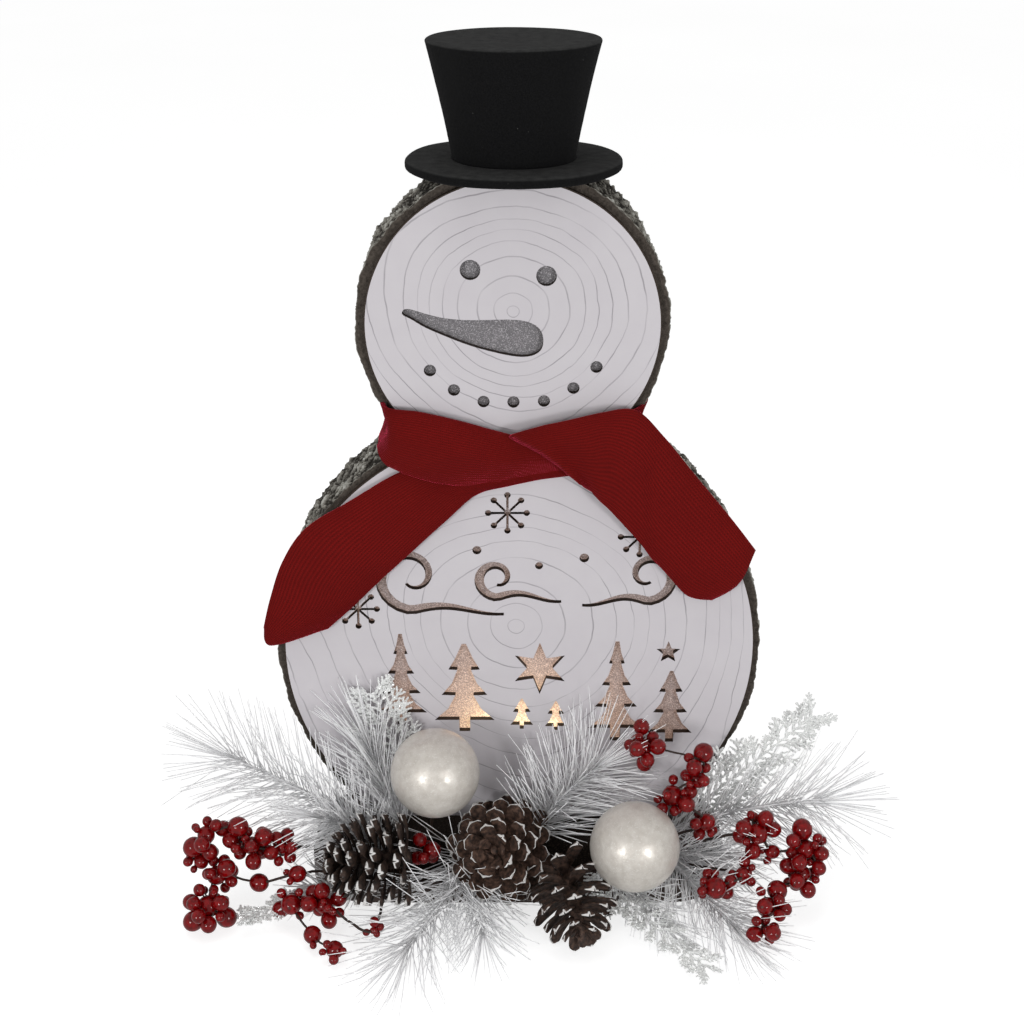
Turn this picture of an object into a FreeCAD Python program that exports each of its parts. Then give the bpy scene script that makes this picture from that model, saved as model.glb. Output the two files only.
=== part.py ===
"""Wooden snowman figure: two bark-edged log slabs on a board, lit from inside.

The frame's origin is the centre of the base board's underside. +Z is up, +X is to
the right of somebody facing the figure, and the figure faces -Y. Millimetres.
"""
import FreeCAD, Part
import math
import os
import random
from FreeCAD import Rotation, Vector

UP = Vector(0, 0, 1)
FRONT = Vector(0, -1, 0)
BACK = Vector(0, 1, 0)
CLEAR = 300.0   # half the size of a cutting block that clears the whole figure

# ---- base board
BASE_LENGTH, BASE_DEPTH, BASE_THICK = 310.0, 130.0, 18.0
BASE_CORNER_R = 45.0
BASE_SCREW_X, BASE_SCREW_RECESS, BASE_SCREW_LENGTH = 60.0, 1.0, 23.0
BASE_SCREW_HEAD_R, BASE_SCREW_HEAD_HIGH, BASE_SCREW_R = 4.0, 4.0, 2.0

# ---- layers of the two slabs, front to back
FACE_FRONT_Y = -15.0
FACE_THICK = 5.0
SHELL_FRONT_Y = FACE_FRONT_Y + FACE_THICK
FILM_THICK = 1.0
SHELL_BACK_Y = 52.0
PANEL_THICK = 3.0
PANEL_BACK_Y = SHELL_BACK_Y + PANEL_THICK

# ---- body and head slabs: centre x, centre z and radius of each round
BODY_X, BODY_Z, BODY_FACE_R = 0.0, 182.4, 169.8
HEAD_X, HEAD_Z, HEAD_FACE_R = -4.7, 425.6, 100.2
BODY_BARK_R, HEAD_BARK_R = 174.5, 106.5
BODY_CAVITY_R, HEAD_CAVITY_R = 150.0, 84.0
BARK_BUMP = 2.6
NECK_Z = 342.6
HEAD_TOP_Z = 526.0
WALL_FLAT = 12.0
MIDDLE_Y = 20.0
DOWEL_R, DOWEL_LENGTH, DOWEL_SPACING = 5.0, 24.0, 60.0
PANEL_SCREW_HEAD_R, PANEL_SCREW_HEAD_HIGH, PANEL_SCREW_R, PANEL_SCREW_LENGTH = 3.0, 1.6, 1.4, 14.0

# ---- top hat
HAT_X, HAT_Y = -4.0, MIDDLE_Y
BRIM_R, BRIM_THICK = 72.4, 6.8
CROWN_LOW_R, CROWN_TOP_R, HAT_TOP_Z = 41.0, 57.5, 610.0
CROWN_WALL, HAT_DISC_THICK = 3.0, 4.0
BRIM_EDGE_R, LID_EDGE_R = 2.4, 1.6
HAT_PEG_R, HAT_PEG_TOP_Z = 6.0, 560.0

# ---- battery box, let into the body's back panel
BOX_W, BOX_H, BOX_DEPTH = 54.0, 74.0, 20.0
BOX_LOW_Z, BOX_WALL = 150.0, 2.0
FLANGE_MARGIN, FLANGE_THICK = 4.0, 2.0
CELL_R, CELL_LENGTH, CELL_PITCH = 7.1, 50.0, 15.2
CELL_Y = PANEL_BACK_Y - BOX_DEPTH + BOX_WALL + CELL_R + 0.6
CELL_LOW_Z = BOX_LOW_Z + BOX_WALL + 4.5
TERMINAL_R, TERMINAL_HIGH = 2.7, 1.6
CONTACT_HALF, CONTACT_THICK, SPRING_WIDE_R, SPRING_NARROW_R = 6.0, 0.6, 2.6, 1.6
RAIL_THICK, RAIL_LIP = 1.2, 3.0
BAY_HEIGHT = 60.0
COVER_W, COVER_THICK, COVER_GAP = 53.2, 2.0, 0.3
COVER_LOW_Z, COVER_HIGH_Z = 148.0, 214.0
SWITCH_Z = 221.0

# ---- warm light string inside the body
WIRE_R = 0.8
LIGHT_R, LIGHT_LENGTH = 2.4, 7.0
BEND_SHARE = 0.45

# ---- scarf
CLOTH_THICK = 4.2
SCARF_BACK_Y = PANEL_BACK_Y + 9.0
SCARF_UNDER_Y = FACE_FRONT_Y - 0.5
SCARF_OVER_Y = SCARF_UNDER_Y - CLOTH_THICK - 0.3

# ---- floral dressing
BALL_R = 31.75
LEFT_BALL = Vector(-60, -66, 111)
RIGHT_BALL = Vector(81.5, -96, 69)
FOAM = (-115.0, 115.0, -48.0, -16.0, 44.0)
NEEDLE_R = 0.7


def tube(start, end, radius, end_radius=None):
    """Rod from start to end, tapered when end_radius is given."""
    axis = end - start
    if end_radius is None:
        return Part.makeCylinder(radius, axis.Length, start, axis)
    return Part.makeCone(radius, end_radius, axis.Length, start, axis)


def block(x0, x1, y0, y1, z0, z1):
    return Part.makeBox(x1 - x0, y1 - y0, z1 - z0, Vector(x0, y0, z0))


def fused(shapes):
    return shapes[0].fuse(shapes[1:]).removeSplitter() if len(shapes) > 1 else shapes[0]


def extruded(outline, y0, y1):
    """Solid from a closed outline of (x, z) points, between two depths."""
    points = [Vector(x, y0, z) for x, z in outline]
    return Part.Face(Part.makePolygon(points + points[:1])).extrude(Vector(0, y1 - y0, 0))


def smooth_extruded(outline, y0, y1):
    """The same with a smooth closed curve through the points."""
    curve = Part.BSplineCurve()
    curve.interpolate([Vector(x, y0, z) for x, z in outline], PeriodicFlag=True)
    return Part.Face(Part.Wire(curve.toShape())).extrude(Vector(0, y1 - y0, 0))


def disc(x, z, radius, y0, y1):
    return Part.makeCylinder(radius, y1 - y0, Vector(x, y0, z), BACK)


# ---------------------------------------------------------------- base

def base_board():
    x, y, r = BASE_LENGTH / 2 - BASE_CORNER_R, BASE_DEPTH / 2 - BASE_CORNER_R, BASE_CORNER_R
    slabs = [block(-x - r, x + r, -y, y, 0, BASE_THICK), block(-x, x, -y - r, y + r, 0, BASE_THICK)]
    corners = [Part.makeCylinder(r, BASE_THICK, Vector(sx * x, sy * y, 0))
               for sx in (-1, 1) for sy in (-1, 1)]
    return fused(slabs + corners).cut(base_screws())


def base_screws():
    """Two countersunk wood screws, up through the board into the body slab."""
    screws = []
    for x in (-BASE_SCREW_X, BASE_SCREW_X):
        foot = Vector(x, MIDDLE_Y, BASE_SCREW_RECESS)
        neck = foot + UP * BASE_SCREW_HEAD_HIGH
        head = tube(foot, neck, BASE_SCREW_HEAD_R, BASE_SCREW_R)
        screws.append(fused([head, tube(neck, foot + UP * BASE_SCREW_LENGTH, BASE_SCREW_R)]))
    return Part.makeCompound(screws)


# ---------------------------------------------------------------- log slabs

def bark_outline(cx, cz, radius, phase, count=72):
    """Round with the uneven swells of bark."""
    points = []
    for i in range(count):
        a = 2 * math.pi * i / count
        swell = 0.5 * math.sin(5 * a + phase) + 0.3 * math.sin(11 * a + 2 * phase)
        swell += 0.35 * math.sin(23 * a + 3 * phase)
        r = radius + BARK_BUMP * swell
        points.append((cx + r * math.cos(a), cz + r * math.sin(a)))
    return points


def bark_shell(cx, cz, radius, cavity_r, low_z, high_z, phase):
    """Hollowed slab of log, cut flat above and below, with a wall left at each flat."""
    y0, y1 = SHELL_FRONT_Y, SHELL_BACK_Y
    slab = smooth_extruded(bark_outline(cx, cz, radius, phase), y0, y1)
    slab = slab.common(block(-CLEAR, CLEAR, y0, y1, low_z, high_z))
    cavity = disc(cx, cz, cavity_r, y0, y1)
    cavity = cavity.common(block(-CLEAR, CLEAR, y0, y1, low_z + WALL_FLAT, high_z - WALL_FLAT))
    return slab.cut(cavity)


def body_shell():
    shell = bark_shell(BODY_X, BODY_Z, BODY_BARK_R, BODY_CAVITY_R, BASE_THICK, NECK_Z, 0.7)
    return shell.cut(base_screws()).cut(neck_dowels()).cut(panel_screws())


def head_shell():
    shell = bark_shell(HEAD_X, HEAD_Z, HEAD_BARK_R, HEAD_CAVITY_R, NECK_Z, HEAD_TOP_Z, 2.1)
    return shell.cut(neck_dowels()).cut(hat_peg()).cut(panel_screws())


def neck_dowels():
    """Two pegs across the flats where the head stands on the body."""
    pins = []
    for side in (-1, 1):
        low = Vector(HEAD_X + side * DOWEL_SPACING / 2, MIDDLE_Y, NECK_Z - DOWEL_LENGTH / 2)
        pins.append(tube(low, low + UP * DOWEL_LENGTH, DOWEL_R))
    return Part.makeCompound(pins)


def round_panel(cx, cz, radius, low_z, high_z, y0, y1):
    return disc(cx, cz, radius, y0, y1).common(block(-CLEAR, CLEAR, y0, y1, low_z, high_z))


def body_back_panel():
    panel = round_panel(BODY_X, BODY_Z, BODY_FACE_R, BASE_THICK, NECK_Z, SHELL_BACK_Y, PANEL_BACK_Y)
    window = block(-BOX_W / 2, BOX_W / 2, SHELL_BACK_Y, PANEL_BACK_Y, BOX_LOW_Z, BOX_LOW_Z + BOX_H)
    return panel.cut(window).cut(panel_screws())


def head_back_panel():
    panel = round_panel(HEAD_X, HEAD_Z, HEAD_FACE_R, NECK_Z, HEAD_TOP_Z, SHELL_BACK_Y, PANEL_BACK_Y)
    return panel.cut(panel_screws())


def panel_screws():
    """Small screws that hold the two back panels to the bark slabs."""
    screws = []
    rings = ((BODY_X, BODY_Z, 160.0, (-35, 35, 145, 215)), (HEAD_X, HEAD_Z, 92.0, (-25, 45, 135, 205)))
    for cx, cz, radius, angles in rings:
        for degrees in angles:
            a = math.radians(degrees)
            head = Vector(cx + radius * math.cos(a), PANEL_BACK_Y, cz + radius * math.sin(a))
            neck = head + FRONT * PANEL_SCREW_HEAD_HIGH
            screws.append(fused([tube(head, neck, PANEL_SCREW_HEAD_R, PANEL_SCREW_R),
                                 tube(neck, head + FRONT * PANEL_SCREW_LENGTH, PANEL_SCREW_R)]))
    return Part.makeCompound(screws)


# ---------------------------------------------------------------- cut-outs in the faces

def stroke(point, width, steps=14):
    """Closed outline of a pen stroke: point(t) is its line and width(t) its thickness."""
    left, right = [], []
    for i in range(steps + 1):
        t = i / steps
        (x0, z0), (x1, z1) = point(t - 0.01), point(t + 0.01)
        length = math.hypot(x1 - x0, z1 - z0)
        nx, nz = (z0 - z1) / length, (x1 - x0) / length
        x, z = point(t)
        half = width(t) / 2
        left.append((x + nx * half, z + nz * half))
        right.append((x - nx * half, z - nz * half))
    return left + right[::-1]


def curl(cx, cz, inner_r, outer_r, turns, tail, mirror=1):
    """Line of a wind curl: a spiral that opens out into a waving tail."""
    swing = 0.6

    def point(t):
        if t < swing:
            a = -math.pi / 2 - 2 * math.pi * turns * (1 - t / swing)
            r = inner_r + (outer_r - inner_r) * (t / swing)
            return cx + mirror * r * math.cos(a), cz + r * math.sin(a)
        s = (t - swing) / (1 - swing)
        wave = 3.2 * math.sin(math.pi * 1.6 * s)
        return cx + mirror * tail * s, cz - outer_r + wave
    return point


def curl_width(thick):
    return lambda t: 2.2 + thick * math.sin(math.pi * min(max(t, 0.0), 1.0)) ** 1.5


def wind_curls(y0, y1):
    """Row of drifting wind curls across the middle of the body."""
    curls = (curl(-77, 241, 6, 26, 1.1, 66), curl(-16, 240, 5, 15, 1.0, 46),
             curl(92, 242, 5, 20, 1.05, 47, -1))
    widths = (5.6, 4.6, 5.2)
    solids = [extruded(stroke(line, curl_width(thick), 44), y0, y1)
              for line, thick in zip(curls, widths)]
    dots = ((-30, 262, 3.2), (14, 250, 2.8), (46, 256, 3.4), (119, 250, 2.6))
    return solids + [disc(x, z, r, y0, y1) for x, z, r in dots]


def fir_tree(cx, low_z, high_z, width, tiers, y0, y1):
    """Fir tree of drooping tiers on a short trunk."""
    trunk_top = low_z + 0.13 * (high_z - low_z)
    right = [(0.09 * width, low_z), (0.09 * width, trunk_top)]
    step = (high_z - trunk_top) / tiers
    for k in range(tiers):
        reach = width / 2 * (1 - 0.24 * k)
        z = trunk_top + k * step
        right += [(reach, z), (reach * 0.55, z + step * 0.45), (reach * 0.30, z + step * 0.98)]
    right[-1] = (0.035 * width, high_z)
    return extruded([(cx + x, z) for x, z in right] + [(cx - x, z) for x, z in right[::-1]], y0, y1)


def star(cx, cz, outer_r, inner_r, points, y0, y1):
    outline = []
    for i in range(2 * points):
        r = outer_r if i % 2 == 0 else inner_r
        a = math.pi / 2 + math.pi * i / points
        outline.append((cx + r * math.cos(a), cz + r * math.sin(a)))
    return extruded(outline, y0, y1)


def winter_row(y0, y1):
    """Row of fir trees and stars across the lower half of the body."""
    return [fir_tree(-86, 122, 196, 37, 4, y0, y1), fir_tree(-40, 116, 188, 44, 3, y0, y1),
            star(15, 168, 21, 9.5, 6, y0, y1), fir_tree(2, 118, 143, 17, 2, y0, y1),
            fir_tree(27, 117, 141, 16, 2, y0, y1), fir_tree(71, 108, 190, 41, 4, y0, y1),
            fir_tree(111, 107, 166, 33, 3, y0, y1), star(108, 181, 9, 4, 5, y0, y1)]


def snowflake(cx, cz, y0, y1, reach=13.5, arm=1.7, dot_r=2.25):
    """Eight thin arms that end in dots."""
    parts = []
    for i in range(4):
        bar = block(-reach, reach, y0, y1, -arm / 2, arm / 2)
        bar.rotate(Vector(0, 0, 0), BACK, 45 * i)
        parts.append(bar)
        for side in (-1, 1):
            a = math.radians(-45 * i)
            parts.append(disc(side * reach * math.cos(a), side * reach * math.sin(a), dot_r, y0, y1))
    flake = fused(parts)
    flake.translate(Vector(cx, 0, cz))
    return flake


def body_face():
    y0, y1 = FACE_FRONT_Y, SHELL_FRONT_Y
    panel = round_panel(BODY_X, BODY_Z, BODY_FACE_R, BASE_THICK, NECK_Z, y0, y1)
    flakes = [snowflake(x, z, y0 - 1, y1 + 1) for x, z in ((-8.4, 290.5), (85, 272.2), (-115.6, 215.9))]
    return panel.cut(flakes + wind_curls(y0 - 1, y1 + 1) + winter_row(y0 - 1, y1 + 1))


def head_face():
    """Round eyes, a swept carrot nose and a smile of dots."""
    y0, y1 = FACE_FRONT_Y, SHELL_FRONT_Y
    panel = round_panel(HEAD_X, HEAD_Z, HEAD_FACE_R, NECK_Z, HEAD_TOP_Z, y0, y1)
    eyes = [disc(x, z, 6.85, y0, y1) for x, z in ((-33.0, 464.9), (17.7, 460.8))]
    smile = ((-60.8, 395.1), (-44.7, 381.2), (-24.6, 372.9), (-4.2, 372.6), (16.6, 373.3),
             (36.6, 382.6), (52.0, 397.6))
    dots = [disc(x, z, 4.15, y0, y1) for x, z in smile]
    nose = [(-78.8, 436.0), (-77.6, 437.6), (-75.1, 438.2), (-71.1, 437.4), (-59.3, 433.8),
            (-47.4, 431.4), (-38.2, 430.6), (-26.3, 430.5), (-14.3, 430.8), (-1.1, 430.5), (8.2, 428.2),
            (13.5, 424.1), (15.9, 416.5), (14.2, 409.5), (8.3, 405.6), (-1.1, 404.9), (-14.4, 407.3),
            (-34.4, 413.0), (-51.6, 419.9), (-67.4, 427.6), (-75.2, 432.3)]
    return panel.cut(eyes + dots + [smooth_extruded(nose, y0, y1)])


def body_film():
    """Light-spreading film behind the body's cut-outs."""
    y0 = SHELL_FRONT_Y
    return round_panel(BODY_X, BODY_Z, BODY_CAVITY_R - 0.3, BASE_THICK + WALL_FLAT + 0.3,
                       NECK_Z - WALL_FLAT - 0.3, y0, y0 + FILM_THICK)


def head_film():
    y0 = SHELL_FRONT_Y
    return round_panel(HEAD_X, HEAD_Z, HEAD_CAVITY_R - 0.3, NECK_Z + WALL_FLAT + 0.3,
                       HEAD_TOP_Z - WALL_FLAT - 0.3, y0, y0 + FILM_THICK)


# ---------------------------------------------------------------- hat

def hat_peg():
    foot = Vector(HAT_X, HAT_Y, HEAD_TOP_Z - WALL_FLAT)
    return tube(foot, Vector(HAT_X, HAT_Y, HAT_PEG_TOP_Z), HAT_PEG_R)


def hat_brim():
    brim = Part.makeCylinder(BRIM_R, BRIM_THICK, Vector(HAT_X, HAT_Y, HEAD_TOP_Z))
    rim = [e for e in brim.Edges if abs(e.Length - 2 * math.pi * BRIM_R) < 0.1]
    return brim.makeFillet(BRIM_EDGE_R, rim).cut(hat_peg())


def hat_crown():
    low_z, high_z = HEAD_TOP_Z + BRIM_THICK, HAT_TOP_Z - HAT_DISC_THICK
    slope = (CROWN_TOP_R - CROWN_LOW_R) / (HAT_TOP_Z - low_z)
    high_r = CROWN_LOW_R + slope * (high_z - low_z)
    foot = Vector(HAT_X, HAT_Y, low_z)
    outer = Part.makeCone(CROWN_LOW_R, high_r, high_z - low_z, foot)
    inner = Part.makeCone(CROWN_LOW_R - CROWN_WALL, high_r - CROWN_WALL, high_z - low_z, foot)
    return outer.cut(inner)


def hat_top():
    lid = Part.makeCylinder(CROWN_TOP_R, HAT_DISC_THICK, Vector(HAT_X, HAT_Y, HAT_TOP_Z - HAT_DISC_THICK))
    rim = [e for e in lid.Edges if e.BoundBox.ZMin > HAT_TOP_Z - 0.1]
    return lid.makeFillet(LID_EDGE_R, rim)


# ---------------------------------------------------------------- lights and power

def rounded_route(points, radius):
    """Tube along straight runs joined by tangent arcs; prints each arc's radius."""
    edges, radii, start = [], [], points[0]
    for before, corner, after in zip(points, points[1:], points[2:]):
        a, b = (before - corner).normalize(), (after - corner).normalize()
        turn = math.pi - a.getAngle(b)
        reach = BEND_SHARE * min((before - corner).Length, (after - corner).Length)
        bend_r = reach / math.tan(turn / 2)
        centre = corner + (a + b).normalize() * (bend_r / math.cos(turn / 2))
        middle = centre + (corner - centre).normalize() * bend_r
        first, last = corner + a * reach, corner + b * reach
        edges += [Part.LineSegment(start, first).toShape(), Part.Arc(first, middle, last).toShape()]
        radii.append(round(bend_r, 1))
        start = last
    edges.append(Part.LineSegment(start, points[-1]).toShape())
    path = Part.Wire(edges)
    ring = Part.Wire(Part.Circle(points[0], points[1] - points[0], radius).toShape())
    solid = path.makePipeShell([ring], True, True)
    ideal = math.pi * radius ** 2 * path.Length
    print("light wire radii", radii, "volume ratio", round(solid.Volume / ideal, 4))
    return solid


def wire_points():
    """The light string lies on the inside of the back panel and loops round the body."""
    y = SHELL_BACK_Y - WIRE_R
    route = ((30, 226), (31, 245), (14, 268), (-20, 274), (-54, 262), (-80, 236), (-90, 202),
             (-86, 166), (-66, 138), (-36, 122), (-2, 116), (38, 117), (66, 130), (86, 154),
             (92, 182), (86, 214), (66, 240))
    return [Vector(x, y, z) for x, z in route]


def light_string_wire():
    points = wire_points()
    points[0] = Vector(20, SHELL_BACK_Y - WIRE_R, BOX_LOW_Z + BOX_H)
    return rounded_route(points, WIRE_R)


def light_bulbs(wire):
    """Small lamps that stand forward off the wire, midway along its runs."""
    points, bulbs = wire_points(), []
    for i in (3, 5, 7, 9, 10, 11, 13, 15):
        seat = (points[i] + points[i + 1]) * 0.5
        tip = seat + FRONT * LIGHT_LENGTH
        bulb = fused([tube(seat, tip, LIGHT_R), Part.makeSphere(LIGHT_R, tip)])
        bulbs.append(bulb.cut(wire))
    return Part.makeCompound(bulbs)


def bay_box(y0, y1):
    """Space of the three cells."""
    half = BOX_W / 2 - 3.5
    return block(-half, half, y0, y1, BOX_LOW_Z + BOX_WALL, BOX_LOW_Z + BOX_WALL + BAY_HEIGHT)


def switch_slot(y0, y1):
    return block(-6.3, 6.3, y0, y1, SWITCH_Z - 2.2, SWITCH_Z + 2.2)


def battery_box():
    """Tray with a flange, side rails for the cover and a raised switch housing."""
    w, m, back = BOX_W / 2, FLANGE_MARGIN, PANEL_BACK_Y
    high_z, flange_y = BOX_LOW_Z + BOX_H, PANEL_BACK_Y + FLANGE_THICK
    lip_y = flange_y + COVER_THICK + 2 * COVER_GAP
    rail_y, rail_low_z, stop_z = lip_y + RAIL_THICK, BOX_LOW_Z - m + 2, COVER_HIGH_Z + 0.6
    parts = [block(-w, w, back - BOX_DEPTH, back, BOX_LOW_Z, high_z),
             block(-w - m, w + m, back, flange_y, BOX_LOW_Z - m, high_z + m),
             block(-w - m, w + m, flange_y, rail_y, stop_z, high_z + m)]
    for side in (-1, 1):
        inner, outer = sorted((side * (COVER_W / 2 + COVER_GAP), side * (w + m)))
        parts.append(block(inner, outer, flange_y, rail_y, rail_low_z, stop_z))
        inner, outer = sorted((side * (COVER_W / 2 - RAIL_LIP), side * (w + m)))
        parts.append(block(inner, outer, lip_y, rail_y, rail_low_z, stop_z))
    box = fused(parts).cut(bay_box(back - BOX_DEPTH + BOX_WALL, lip_y - 0.1).common(
        block(-w, w, 0, flange_y, 0, HAT_TOP_Z)))
    chamber = block(-12, 12, back - 10, back, SWITCH_Z - 5.5, high_z - 0.8)
    return box.cut(chamber).cut(switch_slot(back - 0.5, lip_y + 2))


def battery_cells():
    """Three cells side by side, each with its raised terminal; the middle one is turned round."""
    cells = []
    for i in (-1, 0, 1):
        foot, direction = Vector(i * CELL_PITCH, CELL_Y, CELL_LOW_Z), UP
        if i == 0:
            foot, direction = foot + UP * CELL_LENGTH, Vector(0, 0, -1)
        body = tube(foot, foot + direction * (CELL_LENGTH - TERMINAL_HIGH), CELL_R)
        cells.append(fused([body, tube(foot, foot + direction * CELL_LENGTH, TERMINAL_R)]))
    return Part.makeCompound(cells)


def battery_contacts():
    """A spring plate at each cell's flat end and a plain plate at its terminal."""
    plates, w, y = [], CONTACT_HALF, CELL_Y
    low, high = BOX_LOW_Z + BOX_WALL, BOX_LOW_Z + BOX_WALL + BAY_HEIGHT
    for i in (-1, 0, 1):
        x = i * CELL_PITCH
        foot, top = Vector(x, y, low + CONTACT_THICK), Vector(x, y, high - CONTACT_THICK)
        cell_low = Vector(x, y, CELL_LOW_Z)
        plates.append(block(x - w, x + w, y - w, y + w, low, foot.z))
        plates.append(block(x - w, x + w, y - w, y + w, top.z, high))
        plates.append(tube(foot, cell_low, SPRING_WIDE_R, SPRING_NARROW_R))
        plates.append(tube(cell_low + UP * CELL_LENGTH, top, SPRING_NARROW_R, SPRING_WIDE_R))
    return Part.makeCompound(plates)


def battery_cover():
    """Sliding cover with finger ridges."""
    y0 = PANEL_BACK_Y + FLANGE_THICK + COVER_GAP
    y1 = y0 + COVER_THICK
    plate = block(-COVER_W / 2, COVER_W / 2, y0, y1, COVER_LOW_Z, COVER_HIGH_Z)
    ridges = [block(-14, 14, y1 - 0.2, y1 + 0.9, z, z + 1.6) for z in (158, 162, 166, 170)]
    return fused([plate] + ridges)


def switch_slider():
    """Knob and its foot, which slides in the switch chamber."""
    knob = block(-3, 3, PANEL_BACK_Y - 1, PANEL_BACK_Y + 7.6, SWITCH_Z - 1.8, SWITCH_Z + 1.8)
    foot = block(-6, 6, PANEL_BACK_Y - 4.5, PANEL_BACK_Y - 0.9, SWITCH_Z - 4.4, SWITCH_Z + 1.8)
    return fused([knob, foot])


# ---------------------------------------------------------------- scarf

def neck_gap(y0, y1, spare):
    """Both slabs' outlines with room to spare, for the scarf to go round."""
    rounds = [disc(BODY_X, BODY_Z, BODY_BARK_R + BARK_BUMP + spare, y0, y1),
              disc(HEAD_X, HEAD_Z, HEAD_BARK_R + BARK_BUMP + spare, y0, y1)]
    return fused(rounds)


def scarf_neck_wrap():
    """Loop of the scarf in the notch between head and body, with its folds closed up."""
    y0, y1 = SCARF_UNDER_Y - CLOTH_THICK, SCARF_BACK_Y
    loop = block(-98, 92, y0, y1, 322.5, 371)
    room = block(-CLEAR, CLEAR, SCARF_UNDER_Y, PANEL_BACK_Y + 0.5, 300, 400)
    loop = loop.cut(neck_gap(SCARF_UNDER_Y, PANEL_BACK_Y + 0.5, 0.6).common(room))
    front = block(-CLEAR, CLEAR, y0 - 1, SCARF_UNDER_Y, 300, 400)
    band = [(-98, 371), (-98, 332), (-84, 323.5), (38, 323.5), (92, 345), (92, 366), (72, 369), (-5, 351)]
    return loop.cut(front).fuse(extruded(band, y0, SCARF_UNDER_Y)).removeSplitter()


def scarf_left_tail():
    outline = [(-83, 322.5), (-152, 280), (-180, 215), (-183, 203), (-175, 189), (-136, 205),
               (-30, 306), (-5, 313), (38, 322.5)]
    return extruded(outline, SCARF_UNDER_Y - CLOTH_THICK, SCARF_UNDER_Y)


def scarf_right_tail():
    outline = [(-5, 353), (72, 370), (88, 363), (166, 267), (157, 248), (134, 228), (114, 236), (40, 320)]
    return extruded(outline, SCARF_OVER_Y - CLOTH_THICK, SCARF_OVER_Y)


# ---------------------------------------------------------------- floral dressing

def floral_foam():
    x0, x1, y0, y1, z1 = FOAM
    return block(x0, x1, y0, y1, BASE_THICK, z1)


def pine_cone(base, tip, radius, tiers):
    """Cone of overlapping scale rings round a core, from its wide base to its tip."""
    length = (tip - base).Length
    outline = [(0.0, 0.0), (0.45 * radius, 0.0)]
    for k in range(tiers):
        t = (k + 0.5) / tiers
        reach = radius * math.sin(math.pi * (0.22 + 0.70 * t)) ** 0.8
        outline += [(0.62 * reach, length * (t - 0.32 / tiers)), (reach, length * (t + 0.28 / tiers))]
    outline += [(0.08 * radius, length), (0.0, length)]
    points = [Vector(r, 0, z) for r, z in outline]
    cone = Part.Face(Part.makePolygon(points + points[:1])).revolve(Vector(0, 0, 0), UP, 360)
    cone.Placement = FreeCAD.Placement(base, Rotation(UP, tip - base))
    return cone


def ball(centre):
    return Part.makeSphere(BALL_R, centre)


def ball_picks():
    """Wire picks that carry the two balls, pushed into the foam."""
    picks = []
    for centre, foot in ((LEFT_BALL, Vector(-66, -36, 36)), (RIGHT_BALL, Vector(72, -36, 32))):
        direction = (centre - foot).normalize()
        picks.append(tube(foot, centre - direction * (BALL_R - 0.02), 1.2))
    return Part.makeCompound(picks)


def bent_stem(points, radius):
    """Wire stem: rods between points, rounded at the joints."""
    rods = [tube(a, b, radius) for a, b in zip(points, points[1:])]
    return rods + [Part.makeSphere(radius, p) for p in points[1:]]


def along(points, t):
    """Place and direction at share t of a chain of points."""
    spans = [(b - a).Length for a, b in zip(points, points[1:])]
    left = t * sum(spans)
    for a, b, span in zip(points, points[1:], spans):
        if left <= span:
            return a + (b - a) * (left / span), (b - a).normalize()
        left -= span
    return points[-1], (points[-1] - points[-2]).normalize()


def sprig(points, plane, pairs, needle, angle, first=0.2, radius=NEEDLE_R, floor_z=1.0, seed=1):
    """Stem with needles in a flat fan; plane is the fan's normal and needle their length."""
    rng = random.Random(seed)
    parts = bent_stem(points, 1.5)
    for i in range(pairs):
        t = first + (1 - first) * i / (pairs - 1)
        place, forward = along(points, t)
        side = forward.cross(plane).normalize()
        for sign in (-1, 1):
            a = math.radians(angle + rng.uniform(-7, 7)) * (1 - 0.45 * t)
            way = forward * math.cos(a) + side * (sign * math.sin(a)) + plane * rng.uniform(-0.05, 0.05)
            end = place + way.normalize() * needle * rng.uniform(0.88, 1.0)
            end.z = max(end.z, floor_z)
            parts.append(tube(place, end, radius))
    return fused(parts)


PINE_SPRIGS = {
    # node: stem points, fan normal, pairs, needle length, angle
    "pine_sprig_left": ([(-112, -42, 40), (-160, -43, 86), (-213, -41, 108)], FRONT, 8, 62, 48),
    "pine_sprig_upright_left": ([(-92, -30, 40), (-108, -29, 84), (-122, -27, 118)], FRONT, 6, 36, 34),
    "pine_sprig_centre": ([(14, -42, 40), (34, -43, 84), (60, -41, 112)], FRONT, 7, 56, 44),
    "pine_sprig_right": ([(112, -42, 38), (165, -44, 66), (224, -41, 68)], FRONT, 8, 60, 50),
    "pine_sprig_front_left": ([(-38, -46, 27), (-52, -78, 18), (-82, -144, 8)], UP, 8, 56, 46),
    "pine_sprig_front_right": ([(104, -46, 27), (126, -76, 18), (156, -112, 5)], UP, 7, 50, 46),
}

CEDAR_SPRIGS = {
    "cedar_sprig_upper_left": ([(-82, -22, 40), (-90, -21, 100), (-104, -21, 146)], FRONT, 6, 15, 52),
    "cedar_sprig_upper_right": ([(116, -24, 40), (160, -24, 84), (214, -24, 132)], FRONT, 7, 24, 52),
    "cedar_sprig_front_right": ([(56, -46, 26), (70, -76, 19), (134, -158, 4)], UP, 6, 20, 52),
    "cedar_sprig_front_left": ([(-110, -46, 20), (-128, -64, 19.8), (-160, -86, 6), (-204, -103, 3)],
                               UP, 6, 17, 52),
}

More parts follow.
